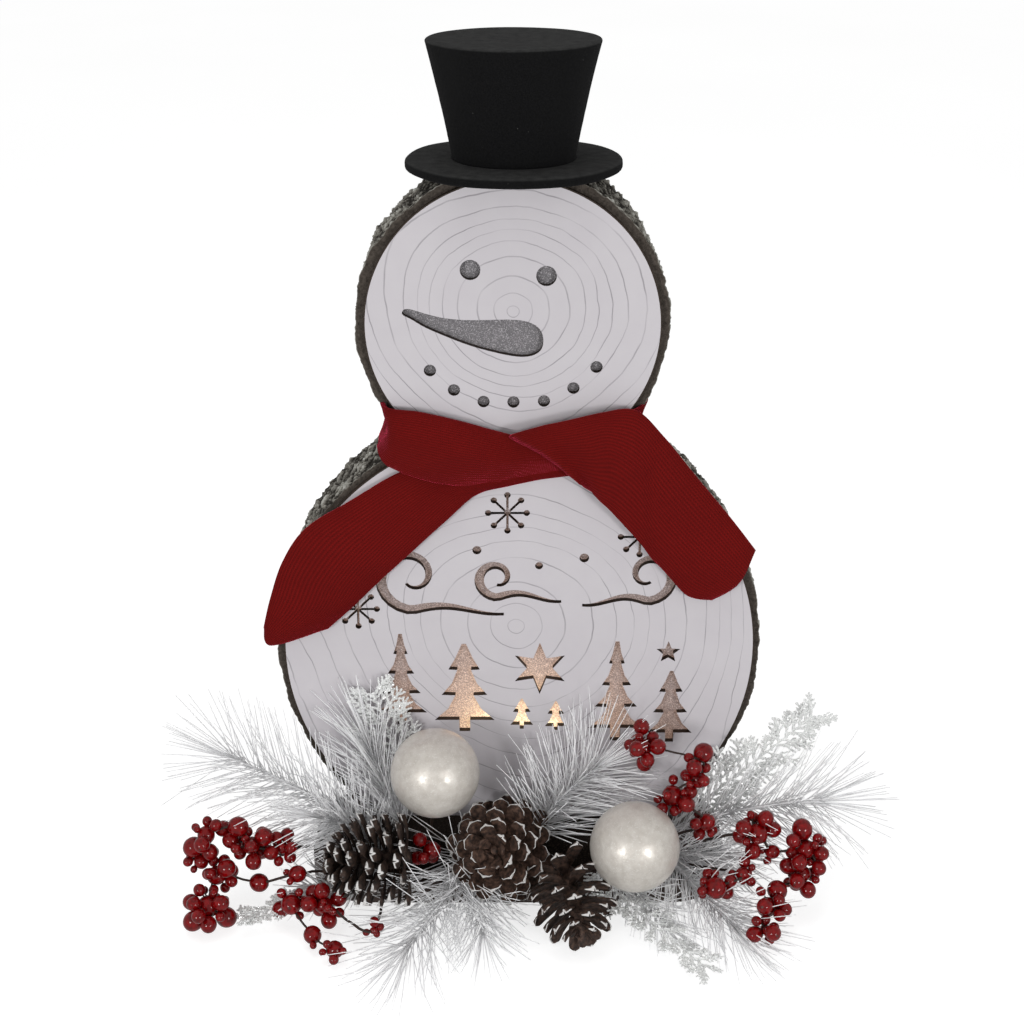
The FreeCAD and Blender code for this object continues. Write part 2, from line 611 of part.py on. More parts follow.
BERRY_SPRAYS = {
    # node: random seed, stem root, then clusters as (x, y, z, spread, berries)
    "berry_spray_left_upper": (80, (-112, -46, 42), ((-166, -70, 52, 8, 4), (-199, -72, 60, 9, 6),
                                                 (-233, -70, 54, 10, 8))),
    "berry_spray_left_lower": (81, (-106, -47, 21), ((-164, -100, 24, 9, 6), (-190, -79, 26, 9, 6),
                                                 (-226, -78, 25, 10, 7), (-227, -106, 19, 9, 7))),
    "berry_spray_front_left": (80, (-100, -47, 23), ((-137, -98, 14, 6, 5), (-145, -118, 12, 8, 5),
                                                 (-129, -143, 11, 8, 6))),
    "berry_cluster_middle": (80, (-63, -47, 36), ((-63, -62, 46, 8, 6),)),
    "berry_spray_right_upper": (80, (96, -47, 42), ((134, -70, 74, 9, 7), (115, -68, 95, 9, 7),
                                                (126, -66, 118, 9, 8), (90, -66, 134, 9, 8))),
    "berry_spray_right_lower": (81, (108, -47, 34), ((168, -70, 66, 10, 8), (209, -72, 52, 12, 11),
                                                 (182, -104, 26, 10, 8), (174, -126, 21, 8, 6))),
    "berry_spray_front_right": (80, (108, -47, 24), ((141, -88, 34, 9, 7), (160, -84, 40, 8, 5))),
}


def faceted_berry(centre, radius, sides=8):
    """Ball of flat facets between rings at four latitudes, closed by two flat caps."""
    rings = []
    for latitude in (-62, -22, 22, 62):
        z, r = radius * math.sin(math.radians(latitude)), radius * math.cos(math.radians(latitude))
        rings.append([centre + Vector(r * math.cos(a), r * math.sin(a), z)
                      for a in (2 * math.pi * (k + 0.5) / sides for k in range(sides))])
    outlines = [rings[0], rings[-1]]
    for low, high in zip(rings, rings[1:]):
        outlines += [[low[k - 1], low[k], high[k], high[k - 1]] for k in range(sides)]
    return Part.Solid(Part.Shell([Part.Face(Part.makePolygon(o + o[:1])) for o in outlines]))


def berry_spray(seed, root, clusters):
    """Wire stem through the clusters, and berries of uneven sizes crowded round each."""
    rng = random.Random(seed)
    points = [Vector(*root)] + [Vector(*c[:3]) for c in clusters]
    parts = bent_stem(points, 0.9)
    for x, y, z, spread, count in clusters:
        for i in range(count):
            a = 2 * math.pi * i / count + rng.uniform(-0.3, 0.3)
            berry_r = rng.uniform(3.8, 5.4)
            place = Vector(x + spread * math.cos(a), y + rng.uniform(-4, 4), z + spread * math.sin(a))
            place.z = max(place.z, berry_r + 0.5)
            parts += [faceted_berry(place, berry_r), tube(Vector(x, y, z), place, 0.7)]
    return fused(parts)


# ---------------------------------------------------------------- write the parts

def build():
    wire = light_string_wire()
    nodes = {"base_board": base_board(), "base_screws": base_screws(),
             "body_shell": body_shell(), "head_shell": head_shell(), "neck_dowels": neck_dowels(),
             "body_face": body_face(), "head_face": head_face(),
             "body_film": body_film(), "head_film": head_film(),
             "body_back_panel": body_back_panel(), "head_back_panel": head_back_panel(),
             "panel_screws": panel_screws(), "hat_peg": hat_peg(), "hat_brim": hat_brim(),
             "hat_crown": hat_crown(), "hat_top": hat_top(),
             "light_string_wire": wire, "light_bulbs": light_bulbs(wire),
             "battery_box": battery_box(), "battery_cells": battery_cells(),
             "battery_contacts": battery_contacts(), "battery_cover": battery_cover(),
             "switch_slider": switch_slider(), "scarf_neck_wrap": scarf_neck_wrap(),
             "scarf_left_tail": scarf_left_tail(), "scarf_right_tail": scarf_right_tail(),
             "floral_foam": floral_foam(), "ball_left": ball(LEFT_BALL), "ball_right": ball(RIGHT_BALL),
             "ball_picks": ball_picks(),
             "pine_cone_left": pine_cone(Vector(-80, -83, 52), Vector(-151, -90, 50), 31, 6),
             "pine_cone_middle": pine_cone(Vector(-9, -56, 47), Vector(-20, -108, 70), 36, 6),
             "pine_cone_right": pine_cone(Vector(35, -85, 37), Vector(47, -144, 20), 26, 5)}
    for seed, (name, (points, plane, pairs, needle, angle)) in enumerate(PINE_SPRIGS.items()):
        nodes[name] = sprig([Vector(*p) for p in points], plane, pairs, needle, angle, seed=seed)
    for seed, (name, (points, plane, pairs, needle, angle)) in enumerate(CEDAR_SPRIGS.items()):
        nodes[name] = sprig([Vector(*p) for p in points], plane, pairs, needle, angle, seed=20 + seed)
    for name, (seed, root, clusters) in BERRY_SPRAYS.items():
        nodes[name] = berry_spray(seed, root, clusters)
    return nodes


def main():
    os.makedirs("parts", exist_ok=True)
    for name, shape in build().items():
        shape.exportStep(os.path.join("parts", name + ".step"))
        print(name, "valid" if shape.isValid() else "INVALID", "solids", len(shape.Solids))


main()
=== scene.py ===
"""Looks of the wooden snowman figure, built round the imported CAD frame.

Sizes are in millimetres in the frame's own axes (the figure faces -Y, Z is up) and turn into
metres when a mesh is made.
"""
import math
import random
import bmesh
import bpy
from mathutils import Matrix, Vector, noise


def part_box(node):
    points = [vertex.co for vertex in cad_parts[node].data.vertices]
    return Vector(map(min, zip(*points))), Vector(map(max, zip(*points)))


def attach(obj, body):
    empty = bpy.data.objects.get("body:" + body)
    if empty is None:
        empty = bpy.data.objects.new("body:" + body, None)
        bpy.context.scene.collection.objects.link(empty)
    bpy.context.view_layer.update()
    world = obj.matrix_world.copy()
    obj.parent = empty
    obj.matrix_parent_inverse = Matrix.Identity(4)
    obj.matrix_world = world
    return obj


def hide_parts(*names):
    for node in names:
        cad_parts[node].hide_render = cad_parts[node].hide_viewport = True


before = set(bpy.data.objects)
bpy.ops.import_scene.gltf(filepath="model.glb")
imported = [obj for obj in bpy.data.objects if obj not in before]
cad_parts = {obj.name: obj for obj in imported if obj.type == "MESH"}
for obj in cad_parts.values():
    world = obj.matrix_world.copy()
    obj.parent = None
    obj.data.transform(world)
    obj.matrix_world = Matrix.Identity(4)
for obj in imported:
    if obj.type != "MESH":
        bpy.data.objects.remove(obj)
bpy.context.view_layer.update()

MM = 0.001
GOLDEN_ANGLE = math.radians(137.508)
UP = Vector((0, 0, 1))

# ---- camera, at the photograph's viewing angle
CAMERA_PLACE = (-5.2, -1152.0, 765.0)
CAMERA_PITCH = math.radians(22.62)
CAMERA_LENS = 61.84

# ---- the frame's layers and rounds
FACE_Y, SHELL_Y, SHELL_BACK_Y = -15.0, -10.0, 52.0
BASE_TOP_Z, NECK_Z, HEAD_TOP_Z, HAT_TOP_Z = 18.0, 342.6, 526.0, 610.0
BODY_CENTRE, BODY_BARK_R, BODY_CAVITY_R, BODY_FACE_R = (0.0, 182.4), 174.5, 150.0, 169.8
HEAD_CENTRE, HEAD_BARK_R, HEAD_CAVITY_R, HEAD_FACE_R = (-4.7, 425.6), 106.5, 84.0, 100.2
BODY_RINGS, HEAD_RINGS = (-2.3, 201.6, 14.5), (-4.5, 436.0, 10.0)  # growth rings: x, z, spacing
BODY_LAMPS = ((-19, 119, 10, 3.4), (18, 117, 10, 2.8), (0, 118, 95, 0.62))  # x, z, reach, power
HEAD_LAMPS = ((0, 330, 60, 0.03),)
CELL_FOOT_Z, CELL_LENGTH = 156.0, 52.0
WALL_FLAT = 12.0
BARK_DEPTH, BARK_ROWS = 3.4, 44
BARK_JAGS = ((1.5, 30), (1.1, 9), (0.6, 3.2))  # depth and width of the outline's dents
BRIM_R, BRIM_THICK = 72.6, 6.8
CROWN_FOOT_R, CROWN_FLARE = 41.6, 16.2
HAT_AXIS = (-4.0, 20.0)


# ---- shader helpers

class Shader:
    """A material with one Principled shader, and short names for the nodes that feed it."""

    def __init__(self, name, **values):
        self.material = bpy.data.materials.new(name)
        self.material.use_nodes = True
        self.tree = self.material.node_tree
        self.bsdf = self.tree.nodes["Principled BSDF"]
        self.under = {}
        self.where = self.place()
        for key, value in values.items():
            self.set("Specular IOR Level" if key == "Specular" else key.replace("_", " "), value)

    def feed(self, target, value):
        """Links another node's output into a socket, or sets the socket's own value."""
        if isinstance(value, bpy.types.NodeSocket):
            self.tree.links.new(value, target)
        elif target.type == "RGBA" and len(value) == 3:
            target.default_value = (*value, 1.0)
        else:
            target.default_value = value

    def set(self, socket, value):
        self.feed(self.bsdf.inputs[socket], value)

    def node(self, kind, inputs, **settings):
        made = self.tree.nodes.new("ShaderNode" + kind)
        for key, value in settings.items():
            setattr(made, key, value)
        for key, value in inputs.items():
            self.feed(made.inputs[key], value)
        return made

    def coordinate(self, kind):
        return self.node("TexCoord", {}).outputs[kind]

    def mapped(self, kind, scale):
        inputs = {"Vector": self.coordinate(kind), "Scale": scale}
        return self.node("Mapping", inputs).outputs[0]

    def place(self, stretch=(1.0, 1.0, 1.0)):
        """Coordinates in millimetres in the frame's axes."""
        return self.mapped("Object", tuple(1000.0 * s for s in stretch))

    def axes(self, vector):
        """Outputs X, Y and Z of a vector."""
        return self.node("SeparateXYZ", {"Vector": vector}).outputs

    def upright(self, x, z):
        """Vector in the plane of the face panels."""
        return self.node("CombineXYZ", {"X": x, "Z": z}).outputs[0]

    def distance(self, a, b):
        return self.node("VectorMath", {0: a, 1: b}, operation="DISTANCE").outputs["Value"]

    def noise(self, size, detail=3.0, where=None, roughness=0.55):
        """Noise whose blotches are about size millimetres across."""
        inputs = {"Vector": where or self.where, "Scale": 1.0 / size, "Detail": detail,
                  "Roughness": roughness}
        return self.node("TexNoise", inputs).outputs["Fac"]

    def cells(self, size, feature="F1", output="Distance"):
        inputs = {"Vector": self.where, "Scale": 1.0 / size}
        return self.node("TexVoronoi", inputs, feature=feature).outputs[output]

    def flakes(self, size):
        """Its own random grey for each flake."""
        colour = self.cells(size, output="Color")
        return self.node("SeparateColor", {"Color": colour}).outputs[0]

    def math(self, operation, a, b=0.0):
        return self.node("Math", {0: a, 1: b}, operation=operation).outputs[0]

    def add(self, a, b):
        return self.math("ADD", a, b)

    def sub(self, a, b):
        return self.math("SUBTRACT", a, b)

    def mul(self, a, b):
        return self.math("MULTIPLY", a, b)

    def ramp(self, fac, *stops):
        """Colour or grey ramp through (position, value) stops."""
        made = self.node("ValToRGB", {"Fac": fac})
        band = made.color_ramp
        while len(band.elements) < len(stops):
            band.elements.new(0.5)
        for element, (position, value) in zip(band.elements, stops):
            element.position = position
            element.color = (*(value if isinstance(value, tuple) else (value,) * 3), 1.0)
        return made.outputs["Color"]

    def mix(self, fac, a, b):
        return self.node("Mix", {"Factor": fac, 6: a, 7: b}, data_type="RGBA").outputs[2]

    def attribute(self, name):
        return self.node("Attribute", {}, attribute_name=name).outputs["Fac"]

    def colour(self, value):
        self.set("Base Color", value)

    def bump(self, height, depth, strength):
        """Bump of that depth in millimetres, on top of the bump before it."""
        inputs = {"Height": height, "Distance": depth * MM, "Strength": strength, **self.under}
        self.under = {"Normal": self.node("Bump", inputs).outputs["Normal"]}
        self.set("Normal", self.under["Normal"])


# ---- materials

def painted_panel(name, rings, centre, face_r):
    """White paint with fine, uneven growth rings, scorched cut walls, and a dark band 0.9 mm wide
    along the front rim.
    """
    ring_x, ring_z, spacing = rings
    s = Shader(name, Roughness=0.62, Specular=0.35)
    axes = s.axes(s.where)
    flat = s.upright(s.sub(axes["X"], ring_x), s.sub(axes["Z"], ring_z))
    radius = s.distance(flat, (0.0, 0.0, 0.0))
    sway = s.mul(s.sub(s.noise(120, 0.0, flat), 0.5), s.mul(radius, 0.42))
    waver = s.mul(s.sub(s.noise(36, 2.6, flat), 0.5), 6.0)
    bent = s.add(s.add(radius, sway), waver)
    uneven = s.mul(s.math("SINE", s.math("DIVIDE", bent, spacing * 0.9)), 0.24)
    turn = s.add(s.math("DIVIDE", bent, spacing), uneven)
    distance = s.mul(s.math("ABSOLUTE", s.sub(s.math("FRACT", turn), 0.5)), spacing)
    line = s.ramp(s.math("DIVIDE", distance, 2.0), (0.1, 1.0), (0.24, 0.0))
    faint = s.ramp(s.noise(38, 2.0, flat), (0.34, 0.14), (0.62, 0.75))
    line = s.mul(line, faint)
    mottle = s.noise(22, 4.0)
    paint = s.mix(mottle, (0.56, 0.53, 0.56), (0.615, 0.59, 0.612))
    paint = s.mix(line, paint, (0.25, 0.235, 0.255))
    facing = s.math("ABSOLUTE", s.axes(s.coordinate("Normal"))["Y"])
    level = s.upright(axes["X"], axes["Z"])
    # The front face is darkened in a band 0.9 mm wide along its rim, in the walls' dark colour.
    edge = s.math("GREATER_THAN", s.distance(level, (centre[0], 0.0, centre[1])), face_r - 0.9)
    wall = s.math("MAXIMUM", s.ramp(facing, (0.5, 1.0), (0.8, 0.0)), edge)
    dark_edge = s.mix(s.noise(3), (0.01, 0.007, 0.005), (0.05, 0.03, 0.018))
    s.colour(s.mix(wall, paint, dark_edge))
    grain = s.noise(1.6)
    relief = s.sub(s.mul(grain, 0.25), line)
    s.bump(relief, 0.25, 0.5)
    return s.material


def glitter_film(name, lamps):
    """Grey glitter film; the warm glow of the lamps close behind it is painted on as emission."""
    s = Shader(name, Roughness=0.42, Specular=0.7)
    grey = s.flakes(0.55)
    s.colour(s.ramp(grey, (0.0, (0.11, 0.105, 0.115)), (0.7, (0.19, 0.18, 0.19)),
                    (1.0, (0.5, 0.48, 0.5))))
    s.set("Metallic", s.ramp(grey, (0.6, 0.0), (0.9, 0.6)))
    glow = None
    # Painted light: emission that falls off with distance from each lamp.
    for x, z, reach, power in lamps:
        part = s.math("DIVIDE", reach, s.add(s.distance(s.where, (x, SHELL_Y, z)), reach))
        part = s.mul(s.math("POWER", part, 2.0), power)
        glow = part if glow is None else s.add(glow, part)
    sparkle = s.ramp(grey, (0.0, 0.55), (1.0, 1.35))
    glow = s.mul(glow, sparkle)
    tint = s.ramp(s.mul(glow, 0.4), (0.0, (1.0, 0.58, 0.42)), (0.4, (1.0, 0.68, 0.4)),
                  (1.0, (1.0, 0.86, 0.56)))
    s.set("Emission Color", tint)
    s.set("Emission Strength", s.math("MINIMUM", glow, 4.0))
    s.bump(grey, 0.12, 0.7)
    return s.material


def bark_material():
    """Bark: colour follows the relief, near-black in the cracks as painted shade and grey-white on
    the ridge tops as dust with painted highlight; dark brown where it is sawn.
    """
    s = Shader("bark", Roughness=0.93, Specular=0.15)
    fine = s.noise(1.5, 5.0, roughness=0.7)
    relief = s.add(s.attribute("relief"), s.mul(s.sub(fine, 0.5), 1.1))
    # Darker towards the cracks is painted shade; the grey-white ridge tops are dust, partly painted
    # highlight.
    bark = s.ramp(relief, (0.12, (0.028, 0.024, 0.02)), (0.3, (0.24, 0.226, 0.196)),
                  (0.52, (0.44, 0.432, 0.388)), (0.82, (0.72, 0.72, 0.68)))
    tone = s.ramp(s.noise(24), (0.36, 0.6), (0.58, 0.0))
    # These brown patches also darken towards the cracks: painted shade.
    brown = s.ramp(relief, (0.22, (0.012, 0.01, 0.008)), (0.75, (0.19, 0.168, 0.14)))
    bark = s.mix(tone, bark, brown)
    grain = s.noise(2.2, 6.0, roughness=0.7)
    sawn = s.ramp(grain, (0.32, (0.034, 0.028, 0.023)), (0.7, (0.11, 0.092, 0.078)))
    s.colour(s.mix(s.attribute("sawn"), bark, sawn))
    s.bump(s.add(fine, grain), 0.7, 0.8)
    return s.material


def felt_material():
    """Black pressed felt with lint, and a lighter, mottled top: dust with painted top light."""
    s = Shader("black_felt", Roughness=0.95, Specular=0.06, Sheen_Weight=0.02,
               Sheen_Roughness=0.5)
    fuzz = s.noise(0.9, 6.0, roughness=0.75)
    black = s.ramp(fuzz, (0.3, (0.0028, 0.0028, 0.003)), (0.75, (0.012, 0.012, 0.0125)))
    lint = s.mul(s.ramp(s.cells(6.5), (0.028, 1.0), (0.06, 0.0)),
                 s.ramp(s.noise(9, 2.0), (0.5, 0.0), (0.62, 0.7)))
    # Upper faces are lighter: dust, and painted top light.
    top_mottle = s.ramp(s.noise(7.0, 6.0), (0.32, 0.32), (0.72, 0.72))
    dusty_lit_top = s.mul(s.attribute("top_light_and_dust"), top_mottle)
    colour = s.mix(dusty_lit_top, black, (0.056, 0.056, 0.055))
    s.colour(s.mix(lint, colour, (0.16, 0.16, 0.15)))
    s.bump(fuzz, 0.5, 0.8)
    return s.material


def knit_material():
    """Fine ribbed knit: ribs along the scarf, made of small slanted stitches."""
    s = Shader("red_knit", Roughness=0.9, Specular=0.12, Sheen_Weight=0.75,
               Sheen_Roughness=0.26, Sheen_Tint=(1.0, 0.08, 0.17))
    axes = s.axes(s.mapped("UV", (KNIT_RIBS, SCARF_LENGTH / STITCH, 1.0)))
    groove = s.math("PINGPONG", axes["X"], 0.5)
    stitch = s.math("PINGPONG", s.add(axes["Y"], s.mul(groove, 1.2)), 0.5)
    height = s.sub(s.mul(stitch, 1.1), s.mul(groove, 2.0))
    yarn = s.noise(0.7, 4.0, roughness=0.7)
    # Grooves between the ribs and the low ends of the stitches are darker red: painted shade.
    shade = s.add(s.mul(height, 0.26), s.mul(yarn, 0.6))
    red = s.ramp(shade, (0.0, (0.075, 0.0022, 0.0018)), (0.35, (0.165, 0.0045, 0.0035)),
                 (0.62, (0.27, 0.0075, 0.006)))
    patch = s.ramp(s.noise(34, 2.0), (0.4, 0.0), (0.65, 0.35))
    s.colour(s.mix(patch, red, (0.11, 0.0028, 0.0024)))
    s.bump(height, 0.4, 0.7)
    s.bump(yarn, 0.3, 0.6)
    return s.material


def pearl_material():
    """Ivory pearl lacquer with a fine shimmer in it."""
    s = Shader("pearl", Metallic=0.42, Coat_Weight=0.6, Coat_Roughness=0.2, Specular=0.5)
    flakes = s.flakes(0.7)
    cloud = s.noise(5, 5.0)
    ivory = s.ramp(cloud, (0.3, (0.6, 0.555, 0.5)), (0.7, (0.72, 0.68, 0.625)))
    s.colour(s.mix(s.ramp(flakes, (0.86, 0.0), (0.98, 0.6)), ivory, (0.8, 0.78, 0.74)))
    s.set("Roughness", s.ramp(flakes, (0.0, 0.36), (1.0, 0.5)))
    s.bump(s.add(flakes, s.noise(2.4)), 0.13, 0.6)
    return s.material


def cone_material(name, light):
    """Dark cone scales with a thin rim of white paint; light is the tone of the wood."""
    s = Shader(name, Roughness=0.66, Specular=0.35)
    tones = [tuple(light * c for c in tone) for tone in
             ((0.012, 0.008, 0.006), (0.064, 0.036, 0.026), (0.17, 0.098, 0.068))]
    wood = s.ramp(s.noise(3.0, 5.0), (0.3, tones[0]), (0.5, tones[1]), (0.75, tones[2]))
    rim = s.add(s.attribute("tip"), s.mul(s.sub(s.noise(2.2), 0.5), 0.35))
    s.colour(s.mix(s.ramp(rim, (0.66, 0.0), (0.8, 1.0)), wood, (0.66, 0.645, 0.63)))
    s.bump(s.noise(1.0, 4.0), 0.4, 0.7)
    return s.material


def berry_material():
    """Glossy red lacquer with a dark blossom end, on brown wrapped wire."""
    s = Shader("red_berry", Specular=0.4)
    cloud = s.noise(3.5)
    red = s.ramp(cloud, (0.3, (0.09, 0.0009, 0.0014)), (0.7, (0.235, 0.0018, 0.0027)))
    brown = s.mix(s.noise(1.2, 4.0), (0.01, 0.006, 0.005), (0.05, 0.028, 0.02))
    stem = s.attribute("stem")
    s.colour(s.mix(stem, red, brown))
    s.set("Roughness", s.add(s.mul(stem, 0.5), 0.1))
    s.bump(s.noise(1.1), 0.1, 0.35)
    return s.material


def white_pine_material():
    """White needles, greyer towards their roots and on the stem: painted shade where the needles
    crowd.
    """
    s = Shader("white_pine", Roughness=0.42, Specular=0.5)
    # Greyer towards the roots: painted shade.
    shade = s.add(s.attribute("tip"), s.mul(s.noise(5), 0.35))
    s.colour(s.ramp(shade, (0.05, (0.66, 0.66, 0.67)), (0.35, (0.8, 0.8, 0.81)),
                    (1.0, (0.92, 0.92, 0.93))))
    s.bump(s.noise(0.5, 2.0), 0.08, 0.5)
    return s.material


def glitter_cedar_material():
    """White fronds crusted with clear glitter."""
    s = Shader("glitter_cedar", Roughness=0.3, Coat_Weight=0.3, Coat_Roughness=0.1)
    flakes = s.flakes(0.45)
    s.colour(s.ramp(flakes, (0.0, (0.78, 0.79, 0.78)), (0.8, (0.9, 0.91, 0.9)), (1.0, 0.98)))
    s.set("Metallic", s.ramp(flakes, (0.75, 0.0), (0.95, 0.55)))
    s.set("Roughness", s.ramp(flakes, (0.0, 0.5), (1.0, 0.16)))
    s.bump(flakes, 0.2, 0.8)
    return s.material


def wood_material(name, dark, light, size=2.2, along=(0.06, 1.0, 1.0), roughness=0.5, coat=0.0):
    """Stained or bare wood with its fibre drawn out along X, and dark pores."""
    s = Shader(name, Coat_Weight=coat, Coat_Roughness=0.3, Specular=0.4)
    fibre = s.noise(size, 6.0, s.place(along), 0.65)
    wood = s.ramp(fibre, (0.3, dark), (0.72, light))
    pores = s.ramp(s.noise(0.7, 3.0, s.place((0.12, 1.0, 1.0))), (0.35, 0.5), (0.6, 0.0))
    s.colour(s.mix(pores, wood, dark))
    s.set("Roughness", s.add(s.mul(fibre, 0.2), roughness - 0.1))
    s.bump(fibre, 0.2, 0.5)
    return s.material


def plastic_material(name, dark, light, roughness=0.5):
    """Moulded plastic with a fine spark-eroded texture."""
    s = Shader(name, Specular=0.45)
    speck = s.noise(0.5)
    s.colour(s.ramp(s.noise(12), (0.3, dark), (0.7, light)))
    s.set("Roughness", s.add(s.mul(speck, 0.15), roughness - 0.07))
    s.bump(speck, 0.06, 0.6)
    return s.material


def metal_material(name, dark, light):
    """Drawn metal with fine streaks."""
    s = Shader(name, Metallic=1.0)
    streak = s.noise(0.9, 5.0, s.place((1.0, 1.0, 0.08)))
    s.colour(s.ramp(streak, (0.3, dark), (0.7, light)))
    s.set("Roughness", s.add(s.mul(streak, 0.22), 0.24))
    s.bump(streak, 0.04, 0.5)
    return s.material


def foam_material():
    """Floral foam with open cells, coloured near-black brown as painted shade under the dressing.
    """
    s = Shader("foam", Roughness=0.9, Specular=0.2)
    cells = s.cells(2.0, "DISTANCE_TO_EDGE")
    s.colour(s.ramp(cells, (0.0, (0.01, 0.007, 0.005)), (0.3, (0.04, 0.029, 0.022))))
    s.bump(cells, 0.8, 0.7)
    return s.material


def lamp_material():
    """Clear cap that glows warm."""
    s = Shader("warm_lamp", Roughness=0.2, Emission_Color=(1.0, 0.72, 0.38), Emission_Strength=6.0)
    s.colour(s.ramp(s.noise(1.5, 2.0), (0.3, (0.85, 0.72, 0.5)), (0.7, (0.95, 0.86, 0.66))))
    return s.material


def cell_material():
    """Plain blue sleeve with a gold band; no lettering."""
    s = Shader("cell_jacket", Roughness=0.3, Specular=0.5)
    share = s.math("DIVIDE", s.sub(s.axes(s.where)["Z"], CELL_FOOT_Z), CELL_LENGTH)
    band = s.ramp(share, (0.72, 0.0), (0.74, 1.0))
    sleeve = s.mix(band, (0.02, 0.06, 0.14), (0.6, 0.4, 0.16))
    s.colour(s.mix(s.mul(s.noise(6), 0.25), sleeve, (0.01, 0.02, 0.04)))
    s.set("Metallic", band)
    return s.material


# ---- mesh helpers

def new_object(name, data):
    made = bpy.data.objects.new(name, data)
    bpy.context.scene.collection.objects.link(made)
    return made


def mesh_piece(name, verts, faces, material, attributes=None, uvs=None):
    """New object from millimetre vertices, riding on the figure."""
    mesh = bpy.data.meshes.new(name)
    mesh.from_pydata([(x * MM, y * MM, z * MM) for x, y, z in verts], [], faces)
    for key, values in (attributes or {}).items():
        mesh.attributes.new(key, "FLOAT", "POINT").data.foreach_set("value", values)
    if uvs:
        flat = [c for loop in mesh.loops for c in uvs[loop.vertex_index]]
        mesh.uv_layers.new(name="UVMap").data.foreach_set("uv", flat)
    mesh.validate()
    mesh.shade_smooth()
    mesh.materials.append(material)
    piece = new_object(name, mesh)
    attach(piece, "figure")
    return piece


def turns(count):
    """Cosine and sine of each of count even steps round a circle."""
    return [(math.cos(a), math.sin(a)) for a in (2 * math.pi * i / count for i in range(count))]


class Build:
    """Collects vertices, faces and one float attribute of a piece made from many small shapes."""

    def __init__(self):
        self.verts, self.faces, self.marks = [], [], []

    def add(self, verts, faces, marks):
        start = len(self.verts)
        self.verts += verts
        self.faces += [tuple(start + i for i in face) for face in faces]
        self.marks += marks

    def tube(self, points, radii, sides, marks):
        """Closed tube along points, with its own radius and mark at each."""
        rings = []
        side = (points[1] - points[0]).orthogonal().normalized()
        around = turns(sides)
        for k, (point, radius) in enumerate(zip(points, radii)):
            ahead = (points[min(k + 1, len(points) - 1)] - points[max(k - 1, 0)]).normalized()
            side = (side - ahead * side.dot(ahead)).normalized()
            up = ahead.cross(side)
            rings += [point + (side * c + up * s) * radius for c, s in around]
        faces = [tuple(reversed(range(sides))), tuple(range(len(rings) - sides, len(rings)))]
        for low in range(0, len(rings) - sides, sides):
            for i in range(sides):
                a, b = low + i, low + (i + 1) % sides
                faces.append((a, b, b + sides, a + sides))
        self.add(rings, faces, [mark for mark in marks for _ in range(sides)])

    def piece(self, name, material, slot, attribute):
        return mesh_piece(name, self.verts, self.faces, material, {attribute: self.marks})


def sphere_mesh(rings, sides):
    """Unit ball as latitude rings, with its poles on the Z axis."""
    verts = [UP]
    for k in range(1, rings):
        a = math.pi * k / rings
        verts += [Vector((math.sin(a) * c, math.sin(a) * s, math.cos(a))) for c, s in turns(sides)]
    verts.append(-UP)
    faces = [(0, 1 + i, 1 + (i + 1) % sides) for i in range(sides)]
    for k in range(rings - 2):
        for i in range(sides):
            a, b = 1 + k * sides + i, 1 + k * sides + (i + 1) % sides
            faces.append((a, a + sides, b + sides, b))
    last, low = len(verts) - 1, 1 + (rings - 2) * sides
    faces += [(last, low + (i + 1) % sides, low + i) for i in range(sides)]
    return verts, faces


def spline(points, t):
    """Catmull-Rom place at share t of a list of vectors."""
    spans = len(points) - 1
    k = min(int(t * spans), spans - 1)
    f = t * spans - k
    p0, p1, p2 = points[max(k - 1, 0)], points[k], points[k + 1]
    p3 = points[min(k + 2, spans)]
    return 0.5 * ((2 * p1) + (p2 - p0) * f + (2 * p0 - 5 * p1 + 4 * p2 - p3) * f * f
                  + (3 * p1 - p0 - 3 * p2 + p3) * f ** 3)


def skin_faces(steps_u, steps_v):
    """Faces of a sheet: two skins of (steps_u + 1) by (steps_v + 1) points, closed all round."""
    wide, size = steps_u + 1, (steps_u + 1) * (steps_v + 1)
    faces = []
    for j in range(steps_v):
        for i in range(steps_u):
            a = j * wide + i
            quad = (a, a + 1, a + wide + 1, a + wide)
            faces += [quad, tuple(size + k for k in reversed(quad))]
    border = list(range(wide)) + [j * wide + wide - 1 for j in range(1, steps_v + 1)]
    border += [steps_v * wide + i for i in range(wide - 2, -1, -1)]
    border += [j * wide for j in range(steps_v - 1, 0, -1)]
    return faces + [(b, a, a + size, b + size) for a, b in zip(border, border[1:] + border[:1])]


def wave(x, y, z):
    return noise.noise(Vector((x, y, z)))


def smoothstep(low, high, x):
    t = min(max((x - low) / (high - low), 0.0), 1.0)
    return t * t * (3 - 2 * t)


# ---- bark slabs

